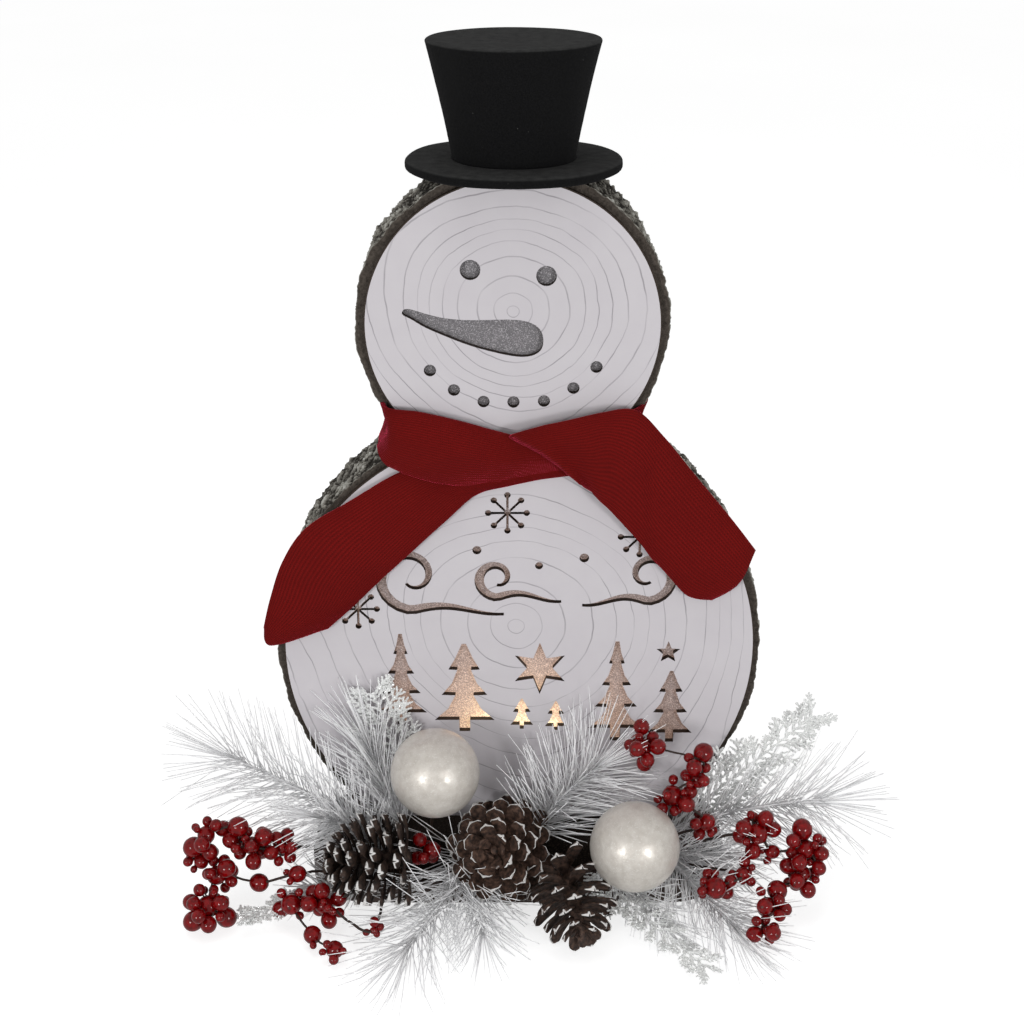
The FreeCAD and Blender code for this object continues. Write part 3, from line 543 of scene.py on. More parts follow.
def bark_slab(name, node, centre, bark_r, cavity_r, low_z, high_z, columns, seed, material):
    """Ring of bark and wood: cracked ridges outside, sawn faces front and back, hollow inside."""
    cx, cz = centre
    verts, relief, sawn, faces = [], [], [], []

    def clipped(radius, s, low, high):
        """Radius cut back so that the point stays between two heights."""
        return min(radius, ((high if s > 0 else low) - cz) / s) if abs(s) > 1e-6 else radius

    def ridge(p, size, stretch, soft):
        """Height of the plates between a net of cracks, 0 to 1; plates are long round the rim."""
        wide = size * stretch
        near = noise.voronoi(Vector((p.x / wide, p.y / size, p.z / wide)))[0]
        return smoothstep(0.0, soft, near[1] - near[0])

    for c, s in turns(columns):
        ring = []
        edge = Vector((bark_r * c, bark_r * s, 40 * seed))
        jag = sum(deep * noise.noise(edge / wide) for deep, wide in BARK_JAGS)
        for j in range(BARK_ROWS + 1):
            y = SHELL_Y + (SHELL_BACK_Y - SHELL_Y) * j / BARK_ROWS
            bend = 4.0 * wave(bark_r * c / 16, bark_r * s / 16, y / 10 + seed)
            p = Vector((bark_r * c, bark_r * s + bend, y + bend + 200 * seed))
            plate = ridge(p, 7.0, 2.6, 0.6)
            chip = ridge(p, 2.6, 2.4, 0.6)
            swell = wave(bark_r * c / 34, bark_r * s / 34, y / 30 + seed)
            rough = noise.fractal(Vector((p.x / 5, p.y / 3, p.z / 5)), 0.9, 2.1, 4)
            near_face = 0.25 + 0.75 * smoothstep(0.0, 6.0, y - SHELL_Y)
            height = 0.42 * plate + 0.36 * chip + 0.22 * rough
            relief_here = BARK_DEPTH * near_face * (height - 0.5)
            radius = clipped(bark_r + relief_here + 1.4 * swell + jag, s, low_z, high_z)
            ring.append((radius, y, min(max(height, 0.0), 1.0), 0.0))
        inner = clipped(cavity_r, s, low_z + WALL_FLAT, high_z - WALL_FLAT)
        ring += [(ring[-1][0] - 0.7, SHELL_BACK_Y, 0.5, 1.0), (inner, SHELL_BACK_Y, 0.5, 1.0),
                 (inner, SHELL_Y, 0.5, 1.0), (ring[0][0] - 0.7, SHELL_Y, 0.5, 1.0)]
        for radius, y, high, cut in ring:
            verts.append((cx + radius * c, y, cz + radius * s))
            relief.append(high)
            sawn.append(cut)
    count = BARK_ROWS + 5
    for i in range(columns):
        start, after = i * count, ((i + 1) % columns) * count
        for j in range(count):
            k = (j + 1) % count
            faces.append((start + j, start + k, after + k, after + j))
    piece = mesh_piece(name, verts, faces, material, {"relief": relief, "sawn": sawn})
    piece.data.set_sharp_from_angle(angle=math.radians(50))
    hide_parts(node)


SLABS = {
    # CAD node: (centre, radius of bark and of hollow, lowest and highest Z, columns, seed)
    "body_shell": (BODY_CENTRE, BODY_BARK_R, BODY_CAVITY_R, BASE_TOP_Z, NECK_Z, 1100, 3.3),
    "head_shell": (HEAD_CENTRE, HEAD_BARK_R, HEAD_CAVITY_R, NECK_Z, HEAD_TOP_Z, 720, 8.1),
}


# ---- hat

def weld(piece, distance):
    """Joins the points that lie together on the axis, and turns every face outward."""
    work = bmesh.new()
    work.from_mesh(piece.data)
    bmesh.ops.remove_doubles(work, verts=work.verts, dist=distance)
    bmesh.ops.recalc_face_normals(work, faces=work.faces)
    work.to_mesh(piece.data)
    work.free()


def felt_lathe(name, profile, material, wobble, seed, top_light_and_dust):
    """Felt turned from a closed (radius, z) profile, a little uneven; the last argument gives, by
    z, its lighter top of dust and painted top light.
    """
    sides = 160
    verts, marks, faces = [], [], []
    count = len(profile)
    for c, s in turns(sides):
        for r, z in profile:
            shift = wobble * wave(c * 2.2, s * 2.2, z / 40 + seed)
            fine = 0.12 * wave(c * r / 3, s * r / 3, z / 3 + seed)
            rr = max(r + shift + fine if r > 1 else r, 0.01)
            lift = wobble * 0.8 * wave(c * 1.4, s * 1.4, seed + 9) * (r / 75.0) ** 2
            verts.append((HAT_AXIS[0] + rr * c, HAT_AXIS[1] + rr * s, z + lift))
            marks.append(top_light_and_dust(z))
    for i in range(sides):
        for j in range(count - 1):
            start, after = i * count, ((i + 1) % sides) * count
            faces.append((start + j, after + j, after + j + 1, start + j + 1))
    piece = mesh_piece(name, verts, faces, material, {"top_light_and_dust": marks})
    weld(piece, 0.0003)
    return piece


def rounded_profile(points, radius, steps):
    """Profile with its inner points rounded off."""
    out = [points[0]]
    for before, corner, after in zip(points, points[1:], points[2:]):
        b, c, a = (Vector(p) for p in (before, corner, after))
        r = min(radius, (b - c).length * 0.45, (a - c).length * 0.45)
        first, last = c + (b - c).normalized() * r, c + (a - c).normalized() * r
        for k in range(steps + 1):
            t = k / steps
            p = first.lerp(c, t).lerp(c.lerp(last, t), t)
            out.append((p.x, p.y))
    return out + [points[-1]]


def hat(material):
    """Flat brim, and a crown that widens to its slightly sunken top."""
    brim_z, brim_top = HEAD_TOP_Z, HEAD_TOP_Z + BRIM_THICK
    brim = rounded_profile([(0.0, brim_z), (30, brim_z), (BRIM_R, brim_z), (BRIM_R, brim_top),
                            (44, brim_top), (30, brim_top), (0.0, brim_top)], 2.6, 5)
    # Its upper face is lighter by z: dust, and painted top light.
    piece = felt_lathe("hat_brim_felt", brim, material, 0.9, 3.0,
                       lambda z: smoothstep(brim_z + 5.0, brim_z + 6.6, z))
    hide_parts("hat_brim")
    foot, top = brim_top + 2.0, HAT_TOP_Z
    crown = [(0.0, brim_top), (30, brim_top), (42.2, brim_top), (CROWN_FOOT_R, foot)]
    for t in (0.1 * k for k in range(1, 10)):
        waist = 0.9 * math.sin(math.pi * t)
        crown.append((CROWN_FOOT_R + CROWN_FLARE * t - waist, foot + (top - foot - 1.2) * t))
    crown += [(58.0, top - 0.6), (56.0, top), (45, top - 0.4), (25, top - 0.5), (0.0, top - 0.6)]
    # The crown's top likewise: dust, and painted top light.
    piece = felt_lathe("hat_crown_felt", rounded_profile(crown, 1.5, 3), material, 0.8, 7.0,
                       lambda z: smoothstep(top - 1.6, top - 0.4, z))
    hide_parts("hat_crown", "hat_top")


# ---- scarf

SCARF_LENGTH, SCARF_WIDTH, KNIT_THICK = 760.0, 60.0, 3.0
KNIT_RIBS, STITCH = 30, 1.6

# Each row runs across the scarf, from its upper or outer edge to its lower one, as (x, y, z).
LEFT_TAIL = [[(-183, -22, 205), (-178, -21, 190), (-137, -21, 203)],
             [(-177, -21.5, 228), (-147, -21.5, 215), (-116, -20.5, 223)],
             [(-167, -21, 256), (-133, -22, 240), (-98, -20, 241)],
             [(-150, -20.5, 281), (-113, -22, 265), (-78, -20, 261)],
             [(-119, -20, 301), (-86, -21, 289), (-52, -20, 286)],
             [(-84, -19, 322), (-60, -20, 309), (-30, -20, 306)],
             [(-52, -18.5, 334), (-32, -19, 321), (-6, -19.5, 313)],
             [(-10, -18.5, 344), (0, -18.5, 330), (16, -19, 317.5)],
             [(30, -18.5, 348), (34, -18.5, 335), (40, -19, 321)]]
NECK_BAND = [[(52, -18.5, 356), (50, -19, 346), (48, -18.5, 334)],
             [(72, -19, 366), (72, -20, 353), (70, -19, 338)],
             [(85, -10, 369), (81, -10, 355), (84, -9, 339)],
             [(89, 15, 370), (84, 15, 355), (89, 15, 336)],
             [(88, 42, 370), (85, 42, 353), (92, 42, 331)],
             [(74, 59, 370), (78, 62, 350), (82, 60, 324)],
             [(36, 59, 368), (36, 62, 346), (36, 60, 320)],
             [(-6, 59, 369), (-6, 61.5, 347), (-6, 60, 321)],
             [(-50, 59, 368), (-50, 62, 346), (-50, 60, 320)],
             [(-80, 58, 370), (-84, 60, 350), (-88, 58, 324)],
             [(-93, 42, 370), (-91, 42, 352), (-98, 42, 329)],
             [(-94.5, 12, 371), (-89, 12, 353), (-99, 12, 333)],
             [(-94, -10, 371), (-88, -13, 354), (-97, -13, 336)],
             [(-88, -21, 370), (-86, -26, 351), (-90, -23, 329)],
             [(-68, -22, 368), (-67, -28, 346), (-69, -24, 320)],
             [(-42, -23, 362), (-42, -27.5, 340), (-44, -20.5, 314)],
             [(-18, -23, 355), (-16, -25, 335), (-14, -17.3, 313.5)],
             [(4, -23, 349), (6, -23, 332), (10, -16.8, 317)],
             [(34, -22, 343), (34, -21, 331), (36, -16.8, 322)]]
RIGHT_TAIL = [[(-7, -24.5, 352), (16, -24, 338), (39, -22.5, 321)],
              [(-2, -31, 356), (21, -32, 340), (42, -29, 318)],
              [(14, -29.5, 360), (33, -29, 340), (51, -27, 310)],
              [(34, -30, 365), (49, -33, 341), (60, -29, 301)],
              [(56, -28, 369.5), (64, -30, 341), (70, -27, 289)],
              [(79, -25, 370), (82, -28, 327), (84, -24.5, 272)],
              [(99, -23, 350), (95, -26, 304), (93, -22.5, 259)],
              [(121, -21.5, 322), (111, -23.5, 284), (102, -21.5, 249)],
              [(146, -21, 291), (133, -22, 260), (119, -21, 230)],
              [(166, -21.5, 265), (155, -22, 239), (137, -21.5, 226)]]


def strip_mesh(rows, v_start, v_end, seed):
    """One length of scarf, with ribs, soft waves and thinner edges; returns verts, faces, uvs."""
    middle = [spline([Vector(p) for p in row], 0.5) for row in rows]
    length = sum((b - a).length for a, b in zip(middle, middle[1:]))
    steps, steps_across = int(length / 1.9), 4 * KNIT_RIBS
    runs = [[spline([Vector(p) for p in row], i / steps_across) for row in rows]
            for i in range(steps_across + 1)]
    grid = [[spline(run, j / steps) for run in runs] for j in range(steps + 1)]
    verts, uvs = [], []
    for skin in (1, -1):
        for j, line in enumerate(grid):
            for i, point in enumerate(line):
                along = grid[min(j + 1, steps)][i] - grid[max(j - 1, 0)][i]
                across = line[min(i + 1, steps_across)] - line[max(i - 1, 0)]
                normal = across.cross(along).normalized()
                u, v = i / steps_across, j / steps
                rib = 0.2 * math.cos(2 * math.pi * KNIT_RIBS * u)
                drape = 1.5 * wave(point.x / 30, point.z / 30, point.y / 30 + seed)
                drape += 0.5 * wave(point.x / 9, point.z / 9, point.y / 9 + seed)
                edge = min(i, steps_across - i, j, steps - j)
                half = KNIT_THICK / 2 * min(1.0, 0.35 + 0.3 * edge)
                verts.append(tuple(point + normal * (skin * half + rib * skin * 0.6 + drape)))
                uvs.append((u, v_start + (v_end - v_start) * v))
    return verts, skin_faces(steps_across, steps), uvs


def scarf(material):
    """One knitted scarf: round the neck, crossed in front, a tail to each side."""
    build, uvs = Build(), []
    for rows, v0, v1, seed in ((LEFT_TAIL, 0.0, 0.3, 1.0), (NECK_BAND, 0.05, 0.8, 2.0),
                               (RIGHT_TAIL, 0.7, 1.0, 3.0)):
        verts, faces, strip_uvs = strip_mesh(rows, v0, v1, seed)
        build.add(verts, faces, [])
        uvs += strip_uvs
    piece = mesh_piece("scarf_knit", build.verts, build.faces, material, uvs=uvs)
    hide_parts("scarf_neck_wrap", "scarf_left_tail", "scarf_right_tail")


# ---- pine cones

def cone_scale(build, root, outward, axis, length, width, thick, paint):
    """One woody scale: a narrow stalk that broadens to a rounded, thick-lipped tip."""
    side = axis.cross(outward).normalized()
    up = outward.cross(side).normalized()
    if up.dot(axis) < 0:
        up = -up
    steps_v, steps_u = 12, 8
    verts, marks = [], []
    for skin in (1, -1):
        for j in range(steps_v + 1):
            v = j / steps_v
            round_off = max(1.0 - ((v - 0.7) / 0.3) ** 4, 0.0) ** 0.5 if v > 0.7 else 1.0
            half_w = width / 2 * max((0.34 + 0.66 * smoothstep(0.0, 0.62, v)) * round_off, 0.1)
            body = thick * (0.35 + 0.65 * smoothstep(0.3, 0.85, v))
            for i in range(steps_u + 1):
                u = 2 * i / steps_u - 1
                lip = 0.5 * body * (1 - 0.65 * u ** 4)
                hollow = 0.1 * length * v * v * u * u
                lift = 0.14 * length * v ** 3
                place = root + outward * (v * length) + side * (half_w * u)
                verts.append(place + up * (lift + hollow + skin * lip))
                near_tip = smoothstep(0.88, 1.0, v)
                near_side = smoothstep(0.76, 1.0, abs(u)) * smoothstep(0.72, 0.9, v)
                marks.append(paint * max(near_tip, near_side))
    for place in verts:
        place.z = max(place.z, 0.8)
    build.add(verts, skin_faces(steps_u, steps_v), marks)


def pine_cone(name, node, base, tip, radius, count, tilts, widths, paint, material, seed):
    """Open cone: scales set at the golden angle, upright at the tip and splayed at the base."""
    base, tip = Vector(base), Vector(tip)
    axis = (tip - base).normalized()
    length = (tip - base).length
    right = axis.orthogonal().normalized()
    up = axis.cross(right)
    rng = random.Random(seed)
    build = Build()
    core = [base + axis * (length * t) for t in (-0.04, 0.0, 0.3, 0.6, 0.85)]
    build.tube(core, [radius * k for k in (0.1, 0.22, 0.2, 0.15, 0.05)], 12, [0.0] * 5)
    for i in range(count):
        t = (i + 0.6) / count
        a = i * GOLDEN_ANGLE + rng.uniform(-0.12, 0.12)
        spoke = right * math.cos(a) + up * math.sin(a)
        tilt = math.radians(tilts[0] + (tilts[1] - tilts[0]) * t ** 0.7 + rng.uniform(-5, 5))
        outward = (spoke * math.sin(tilt) + axis * math.cos(tilt)).normalized()
        reach = radius * min(1.0, 1.42 * math.sqrt(t)) * rng.uniform(0.94, 1.03)
        core_r = radius * 0.14
        root = base + axis * (length * 0.8 * (1 - t)) + spoke * core_r * 0.5
        scale_length = min((reach - core_r * 0.5) / math.sin(tilt), radius * 0.98)
        width = radius * (widths[0] + (widths[1] - widths[0]) * smoothstep(0.0, 0.3, t))
        width *= rng.uniform(0.92, 1.08)
        cone_scale(build, root, outward, axis, scale_length, width, radius * 0.062,
                   paint * rng.uniform(0.8, 1.1) * smoothstep(0.0, 0.1, t))
    piece = build.piece(name, material, "cone_scale", "tip")
    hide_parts(node)


CONES = {
    # CAD node: (foot, tip, radius, scales, their tilt in degrees at tip and foot, their width there
    # as a share of the radius, white paint, material, tone of the wood)
    "pine_cone_left": ((-80, -83, 51), (-151, -90, 49), 34, 78, (62, 100), (0.24, 0.33), 0.84,
                       "cone_scale_dark", 0.42),
    "pine_cone_middle": ((-9, -56, 40), (-20, -106, 72), 39, 56, (34, 104), (0.2, 0.33), 1.1,
                         "cone_scale_brown", 1.0),
    "pine_cone_right": ((33, -84, 40), (46, -144, 18), 32, 48, (46, 100), (0.18, 0.34), 0.92,
                        "cone_scale", 0.72),
}


# ---- balls

def pearl_ball(name, node, material):
    """Ball with the slightly uneven skin of its coating."""
    low, high = (Vector(v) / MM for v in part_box(node))
    centre, radius = (low + high) / 2, (high.z - low.z) / 2
    verts, faces = sphere_mesh(72, 120)
    placed = []
    for v in verts:
        skin = 0.14 * noise.noise(v * 6.0) + 0.05 * noise.noise(v * 30.0)
        placed.append(centre + v * (radius + skin))
    piece = mesh_piece(name, placed, faces, material)
    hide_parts(node)


# ---- berries

BALL = sphere_mesh(12, 16)


def berry(build, centre, radius, way):
    """Slightly long berry, dark at its far end."""
    turn = UP.rotation_difference(way)
    verts, faces = BALL
    size = Vector((radius, radius, radius * 1.06))
    build.add([centre + turn @ (v * size) for v in verts], faces,
              [1.0 if v.z > 0.975 else 0.0 for v in verts])


def free_place(taken, centre, spread, radius, rng):
    """A spot near centre where a berry touches no other, as close in as it can lie."""
    best = None
    for _ in range(80):
        way = Vector((rng.gauss(0, 1), rng.gauss(0, 0.8), rng.gauss(0, 0.75))).normalized()
        place = centre + way * spread * rng.random() ** 0.6
        if place.z < radius + 0.6 or place.y > FACE_Y - radius - 1:
            continue
        if all((place - other).length > (radius + other_r) * 0.97 for other, other_r in taken):
            if best is None or (place - centre).length < (best - centre).length:
                best = place
    return best


def berry_spray(name, node, root, clusters, material, seed):
    """Bent brown wire with crowded clusters of berries of mixed size."""
    rng = random.Random(seed)
    build = Build()
    knots = [Vector(root)] + [Vector(c[:3]) for c in clusters]
    count = 9 * (len(knots) - 1)
    path = [spline(knots, k / count) for k in range(count + 1)]
    path = [p + 1.6 * Vector((noise.noise(p / 9), noise.noise(p / 9 + Vector((7, 0, 0))), 0))
            for p in path]
    build.tube(path, [1.1 - 0.4 * k / count for k in range(count + 1)], 7, [1.0] * (count + 1))
    taken = []
    for x, y, z, spread, large, small in clusters:
        centre = Vector((x, y, z))
        sizes = [rng.uniform(6.0, 8.0) for _ in range(large)]
        sizes += [rng.choice((2.6, 3.0, 3.6, 4.4, 5.2, 5.9)) for _ in range(small)]
        for radius in sizes:
            place = free_place(taken, centre, spread, radius, rng)
            if place is None:
                continue
            taken.append((place, radius))
            bend = centre.lerp(place, 0.5) + Vector((0, 0, 1.0))
            build.tube([centre, bend, place], [0.7, 0.6, 0.5], 5, [1.0] * 3)
            berry(build, place, radius, (place - centre + Vector((0, -0.1, 0))).normalized())
    piece = build.piece(name, material, "red_berry", "stem")
    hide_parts(node)


BERRIES = {
    # CAD node: (stem root, clusters as (x, y, z, spread, large berries, small berries))
    "berry_spray_left_upper": ((-112, -46, 42), (
        (-171, -70, 50, 12, 0, 13), (-193, -72, 54, 16, 3, 12), (-201, -72, 70, 8, 1, 3),
        (-226, -70, 61, 14, 2, 8), (-233, -70, 45, 11, 0, 10))),
    "berry_spray_left_lower": ((-106, -47, 21), (
        (-161, -85, 38, 8, 1, 5), (-189, -80, 28, 8, 1, 4), (-218, -78, 33, 14, 2, 10),
        (-222, -97, 19, 17, 3, 14))),
    "berry_spray_front_left": ((-100, -47, 23), (
        (-103, -120, 15, 7, 0, 6), (-139, -100, 23, 13, 0, 13), (-163, -98, 22, 13, 2, 8),
        (-146, -120, 11, 9, 1, 7), (-129, -134, 9, 10, 1, 8))),
    "berry_cluster_middle": ((-63, -47, 36), ((-64, -72, 50, 12, 3, 6),)),
    "berry_spray_right_upper": ((96, -47, 42), (
        (134, -70, 72, 11, 1, 9), (110, -68, 93, 15, 1, 11), (126, -66, 107, 12, 1, 7),
        (128, -62, 120, 8, 1, 4), (89, -52, 124, 15, 2, 9))),
    "berry_spray_right_lower": ((108, -47, 34), (
        (169, -72, 66, 15, 1, 13), (182, -74, 50, 8, 0, 7), (208, -74, 53, 17, 3, 14),
        (204, -80, 35, 13, 0, 12), (184, -95, 32, 8, 1, 3), (178, -105, 26, 12, 1, 8),
        (174, -118, 16, 11, 0, 10))),
    "berry_spray_front_right": ((108, -47, 24), (
        (160, -90, 42, 10, 0, 8), (139, -100, 38, 14, 1, 11))),
}


# ---- greenery

def keep_clear(place):
    """Holds a point off the floor and off the front of the body."""
    if place.y > FACE_Y - 1.6 and abs(place.x) < BODY_BARK_R + 1.5:
        place.y = FACE_Y - 1.6
    place.z = max(place.z, 0.9)
    return place


def pine_spray(name, node, front, stems, material, seed):
    """Stems crowded with long straight needles, which fan out at each tip."""
    rng = random.Random(seed)
    build = Build()
    front = Vector(front)
    for knots, needles, length, angle in stems:
        knots = [Vector(k) for k in knots]
        stem = [spline(knots, k / 24) for k in range(25)]
        build.tube(stem, [1.6 - 1.0 * k / 24 for k in range(25)], 7, [0.0] * 25)
        for i in range(needles):
            t = 0.04 + 0.96 * (i + rng.uniform(-0.4, 0.4)) / needles
            place = spline(knots, min(max(t, 0.0), 1.0))
            forward = (spline(knots, min(t + 0.02, 1.0)) - spline(knots, t - 0.03)).normalized()
            side = forward.cross(front).normalized()
            turn = i * GOLDEN_ANGLE + rng.uniform(-0.3, 0.3)
            radial = (side * math.cos(turn) + front * (0.55 * math.sin(turn))).normalized()
            lean = math.radians(rng.gauss(angle, 7))
            if t > 0.84:
                lean *= 1.15 * rng.random()
            way = (forward * math.cos(lean) + radial * math.sin(lean)).normalized()
            reach = length * rng.uniform(0.8, 1.0)
            droop = Vector((0, 0, -0.02 * reach)) + side * (rng.gauss(0, 0.02) * reach)
            points = [keep_clear(place + way * reach * s + droop * s * s) for s in NEEDLE_SHARES]
            build.tube(points, NEEDLE_RADII, 4, NEEDLE_MARKS)
    piece = build.piece(name, material, "white_pine", "tip")
    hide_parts(node)


NEEDLE_SHARES, NEEDLE_MARKS = (0.0, 0.35, 0.7, 1.0), (0.15, 0.5, 0.8, 1.0)
NEEDLE_RADII = [0.38 * k for k in (1.0, 1.0, 0.9, 0.55)]
FORWARD, UPWARD, STEEP = (0, -1, 0), (0, 0.3, 1), (0, 0.2, 1)
PINES = {
    # CAD node: (fan normal, and each stem as (knots, needles, needle length, lean in degrees))
    "pine_sprig_left": (FORWARD,
        ([(-98, -42, 46), (-134, -42, 68), (-172, -42, 90), (-208, -40, 108)], 230, 66, 50),
        ([(-98, -50, 34), (-118, -54, 56), (-146, -58, 70)], 230, 46, 50),
        ([(-104, -60, 26), (-128, -70, 22), (-152, -76, 20)], 90, 34, 52)),
    "pine_sprig_upright_left": (FORWARD,
        ([(-84, -38, 42), (-96, -36, 76), (-110, -30, 112)], 150, 62, 26)),
    "pine_sprig_centre": (FORWARD,
        ([(10, -44, 44), (30, -47, 78), (56, -45, 104)], 230, 64, 52)),
    "pine_sprig_right": (FORWARD,
        ([(106, -38, 42), (150, -42, 62), (190, -42, 70), (222, -38, 70)], 220, 64, 50),
        ([(104, -50, 34), (130, -58, 38), (152, -62, 40)], 130, 46, 46)),
    "pine_sprig_front_left": (UPWARD,
        ([(-34, -50, 38), (-50, -86, 26), (-78, -138, 14)], 230, 66, 50),
        ([(-34, -52, 32), (-30, -84, 22), (-26, -118, 12)], 130, 50, 46)),
    "pine_sprig_front_right": (UPWARD,
        ([(104, -46, 36), (126, -76, 24), (152, -110, 12)], 210, 62, 48),
        ([(66, -50, 28), (84, -76, 18), (104, -106, 10)], 120, 40, 46)),
}


def cedar_spray(name, node, knots, branches, reach, flat, material, seed):
    """Flat frond: side branches of small overlapping leaf beads, crusted with glitter."""
    rng = random.Random(seed)
    build = Build()
    knots = [Vector(k) for k in knots]
    stem = [spline(knots, k / 20) for k in range(21)]
    build.tube(stem, [1.1 - 0.6 * k / 20 for k in range(21)], 6, [0.2] * 21)
    bead, bead_faces = sphere_mesh(4, 6)
    front = Vector(flat)

    def beads(start, way, length):
        step = 1.5
        turn = UP.rotation_difference(way)
        for k in range(int(length / step)):
            size = 1.25 * (1 - 0.4 * k * step / length) * rng.uniform(0.7, 1.25)
            shift = Vector((rng.uniform(-1, 1), rng.uniform(-1, 1), rng.uniform(-1, 1))) * 0.6
            centre = keep_clear(start + way * (k * step) + shift)
            centre.z = max(centre.z, 1.8)
            sizes = Vector((size, size * 0.7, step))
            build.add([centre + turn @ (v * sizes) for v in bead], bead_faces,
                      [rng.random()] * len(bead))

    for i in range(branches):
        t = 0.18 + 0.82 * i / (branches - 1)
        place = spline(knots, min(t, 1.0))
        forward = (spline(knots, min(t + 0.02, 1.0)) - spline(knots, t - 0.03)).normalized()
        side = forward.cross(front).normalized() * (1 if i % 2 else -1)
        lean = math.radians(50 + rng.uniform(-8, 8))
        way = forward * math.cos(lean) + side * math.sin(lean)
        way = (way + front * rng.uniform(-0.25, 0.3)).normalized()
        length = reach * (1.05 - 0.55 * t) * rng.uniform(0.8, 1.1)
        beads(place, way, length)
        spread = forward.cross(way).cross(way).normalized() * 0.8
        for k in range(3):
            twig = place + way * length * (0.3 + 0.22 * k)
            for sign in (-1, 1):
                beads(twig, (way + spread * sign).normalized(), length * (0.42 - 0.08 * k))
    piece = build.piece(name, material, "glitter_cedar", "tip")
    piece.data.shade_flat()
    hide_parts(node)


CEDARS = {
    # CAD node: (stem knots, branches, branch reach, fan normal)
    "cedar_sprig_upper_left": (
        [(-80, -22, 50), (-90, -22, 100), (-106, -21, 150)], 26, 44, FORWARD),
    "cedar_sprig_upper_right": (
        [(116, -26, 44), (160, -26, 84), (214, -25, 134)], 38, 38, FORWARD),
    "cedar_sprig_front_right": (
        [(56, -46, 30), (74, -84, 18), (128, -150, 7)], 34, 36, STEEP),
    "cedar_sprig_front_left": (
        [(-110, -46, 26), (-140, -74, 18), (-198, -98, 10)], 34, 32, STEEP),
}


# ---- stage

WORLD_STRENGTH, FLOOR_GLOW = 0.52, 0.72
LIGHTS = (
    # name, place and width in metres, watts
    ("softbox_left", (-0.88, -1.46, 0.46), 0.34, 8.0),
    ("softbox_right", (0.88, -1.46, 0.46), 0.34, 7.6),
    ("overhead", (-0.3, -0.2, 2.4), 1.4, 9.0),
)
LIGHTS_AIM = Vector((0, 0, 0.25))


def stage():
    """Pale floor, broad soft lights and the camera."""
    scene = bpy.context.scene
    bpy.ops.mesh.primitive_plane_add(size=40.0, location=(0, 8, -0.0003))
    floor = bpy.context.object
    floor.name = "studio_floor"
    s = Shader("studio_floor", Roughness=0.9, Specular=0.0,
               Emission_Color=(1.0, 1.0, 1.0), Emission_Strength=FLOOR_GLOW)
    s.colour(s.ramp(s.noise(900, 2.0), (0.3, 0.5), (0.7, 0.52)))
    floor.data.materials.append(s.material)
    floor.visible_diffuse = floor.visible_glossy = False
    scene.world = bpy.data.worlds.new("studio")
    scene.world.use_nodes = True
    background = scene.world.node_tree.nodes["Background"].inputs
    background["Color"].default_value = (1.0, 1.0, 1.0, 1.0)
    background["Strength"].default_value = WORLD_STRENGTH
    for name, place, size, power in LIGHTS:
        light = bpy.data.lights.new(name, "AREA")
        light.shape, light.size, light.energy = "DISK", size, power
        lamp = new_object(name, light)
        lamp.location = place
        lamp.rotation_euler = (LIGHTS_AIM - Vector(place)).to_track_quat("-Z", "Y").to_euler()
        lamp.visible_glossy = name != "overhead"
    lens = bpy.data.cameras.new("camera")
    lens.lens, lens.sensor_width = CAMERA_LENS, 36.0
    camera = new_object("camera", lens)
    camera.location = [v * MM for v in CAMERA_PLACE]
    camera.rotation_euler = (math.pi / 2 - CAMERA_PITCH, 0, 0)
    scene.camera = camera
    scene.view_settings.view_transform = "Standard"


# ---- everything together

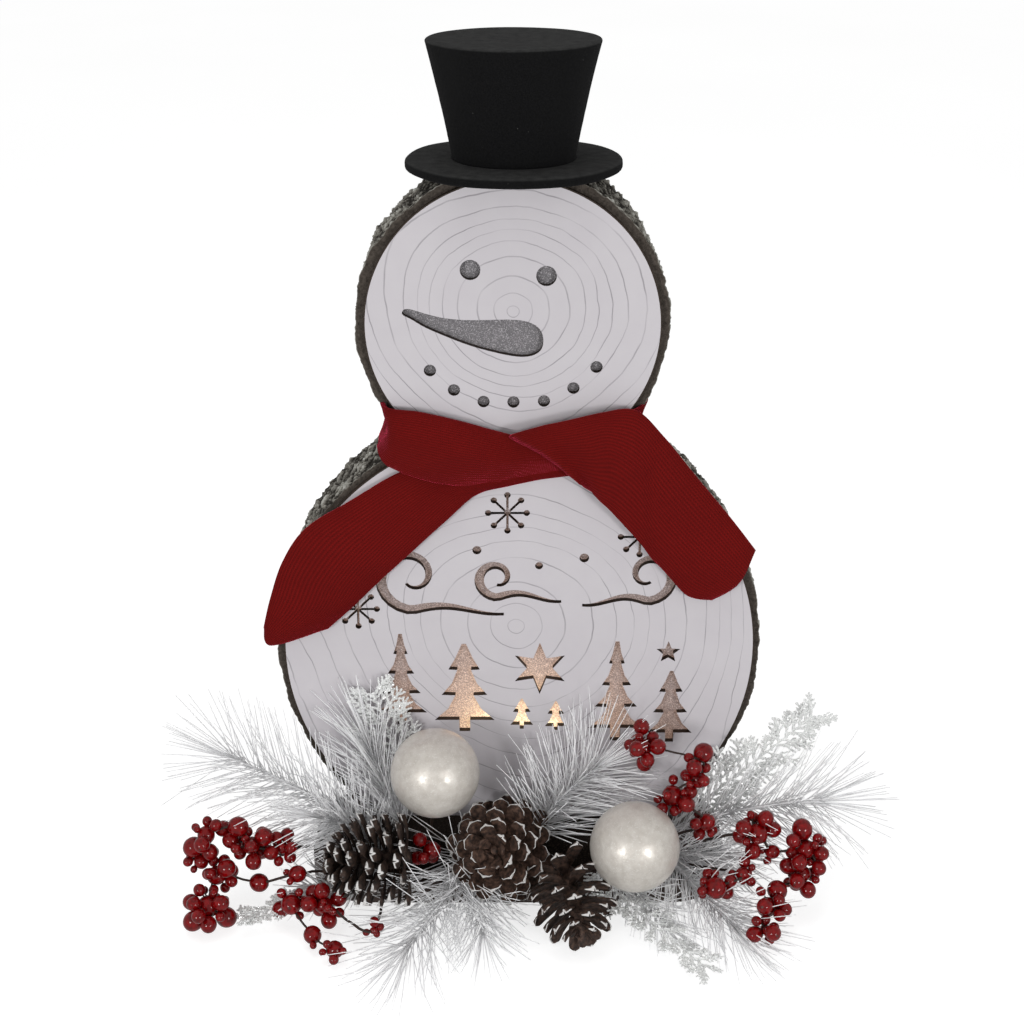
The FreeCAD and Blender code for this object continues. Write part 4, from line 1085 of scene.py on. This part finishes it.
def dress_cad_nodes():
    """Gives every CAD node that is not replaced its finished material."""
    steel = metal_material("zinc_steel", (0.38, 0.38, 0.4), (0.62, 0.62, 0.64))
    dowel = wood_material("dowel_wood", (0.38, 0.25, 0.14), (0.62, 0.46, 0.3))
    board = wood_material("hardboard", (0.16, 0.1, 0.065), (0.3, 0.2, 0.13), 1.2, (1.0,) * 3, 0.7)
    black = plastic_material("battery_plastic", (0.01, 0.01, 0.011), (0.02, 0.02, 0.022))
    looks = {
        "base_board": wood_material("stained_board", (0.018, 0.009, 0.006), (0.06, 0.032, 0.022),
                                    coat=0.15),
        "base_screws": steel, "panel_screws": steel, "battery_contacts": steel,
        "neck_dowels": dowel, "hat_peg": dowel,
        "body_face": painted_panel("body_paint", BODY_RINGS, BODY_CENTRE, BODY_FACE_R),
        "head_face": painted_panel("head_paint", HEAD_RINGS, HEAD_CENTRE, HEAD_FACE_R),
        "body_film": glitter_film("body_glitter", BODY_LAMPS),
        "head_film": glitter_film("head_glitter", HEAD_LAMPS),
        "body_back_panel": board, "head_back_panel": board,
        "light_string_wire": metal_material("copper_wire", (0.45, 0.2, 0.1), (0.72, 0.4, 0.22)),
        "light_bulbs": lamp_material(), "battery_box": black, "battery_cover": black,
        "battery_cells": cell_material(),
        "switch_slider": plastic_material("switch_plastic", (0.6, 0.6, 0.58), (0.72, 0.72, 0.7)),
        "floral_foam": foam_material(),
        "ball_picks": plastic_material("stem_wire", (0.05, 0.028, 0.02), (0.1, 0.06, 0.045), 0.7),
    }
    for name, material in looks.items():
        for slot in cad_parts[name].material_slots:
            slot.material = material


def main():
    stage()
    dress_cad_nodes()
    bark = bark_material()
    for node, slab in SLABS.items():
        bark_slab(node.replace("shell", "bark"), node, *slab, bark)
    hat(felt_material())
    scarf(knit_material())
    for seed, (node, (*shape, material_name, tone)) in enumerate(CONES.items(), 1):
        material = cone_material(material_name, tone)
        pine_cone(node.replace("pine_", ""), node, *shape, material, seed)
    pearl = pearl_material()
    pearl_ball("pearl_ball_left", "ball_left", pearl)
    pearl_ball("pearl_ball_right", "ball_right", pearl)
    red = berry_material()
    for seed, (node, (root, clusters)) in enumerate(BERRIES.items()):
        berry_spray(node.replace("berry_", "berries_"), node, root, clusters, red, seed)
    white = white_pine_material()
    for seed, (node, (front, *stems)) in enumerate(PINES.items()):
        pine_spray(node.replace("sprig", "needles"), node, front, stems, white, seed)
    glitter = glitter_cedar_material()
    for seed, (node, shape) in enumerate(CEDARS.items()):
        cedar_spray(node.replace("sprig", "frond"), node, *shape, glitter, seed)


main()
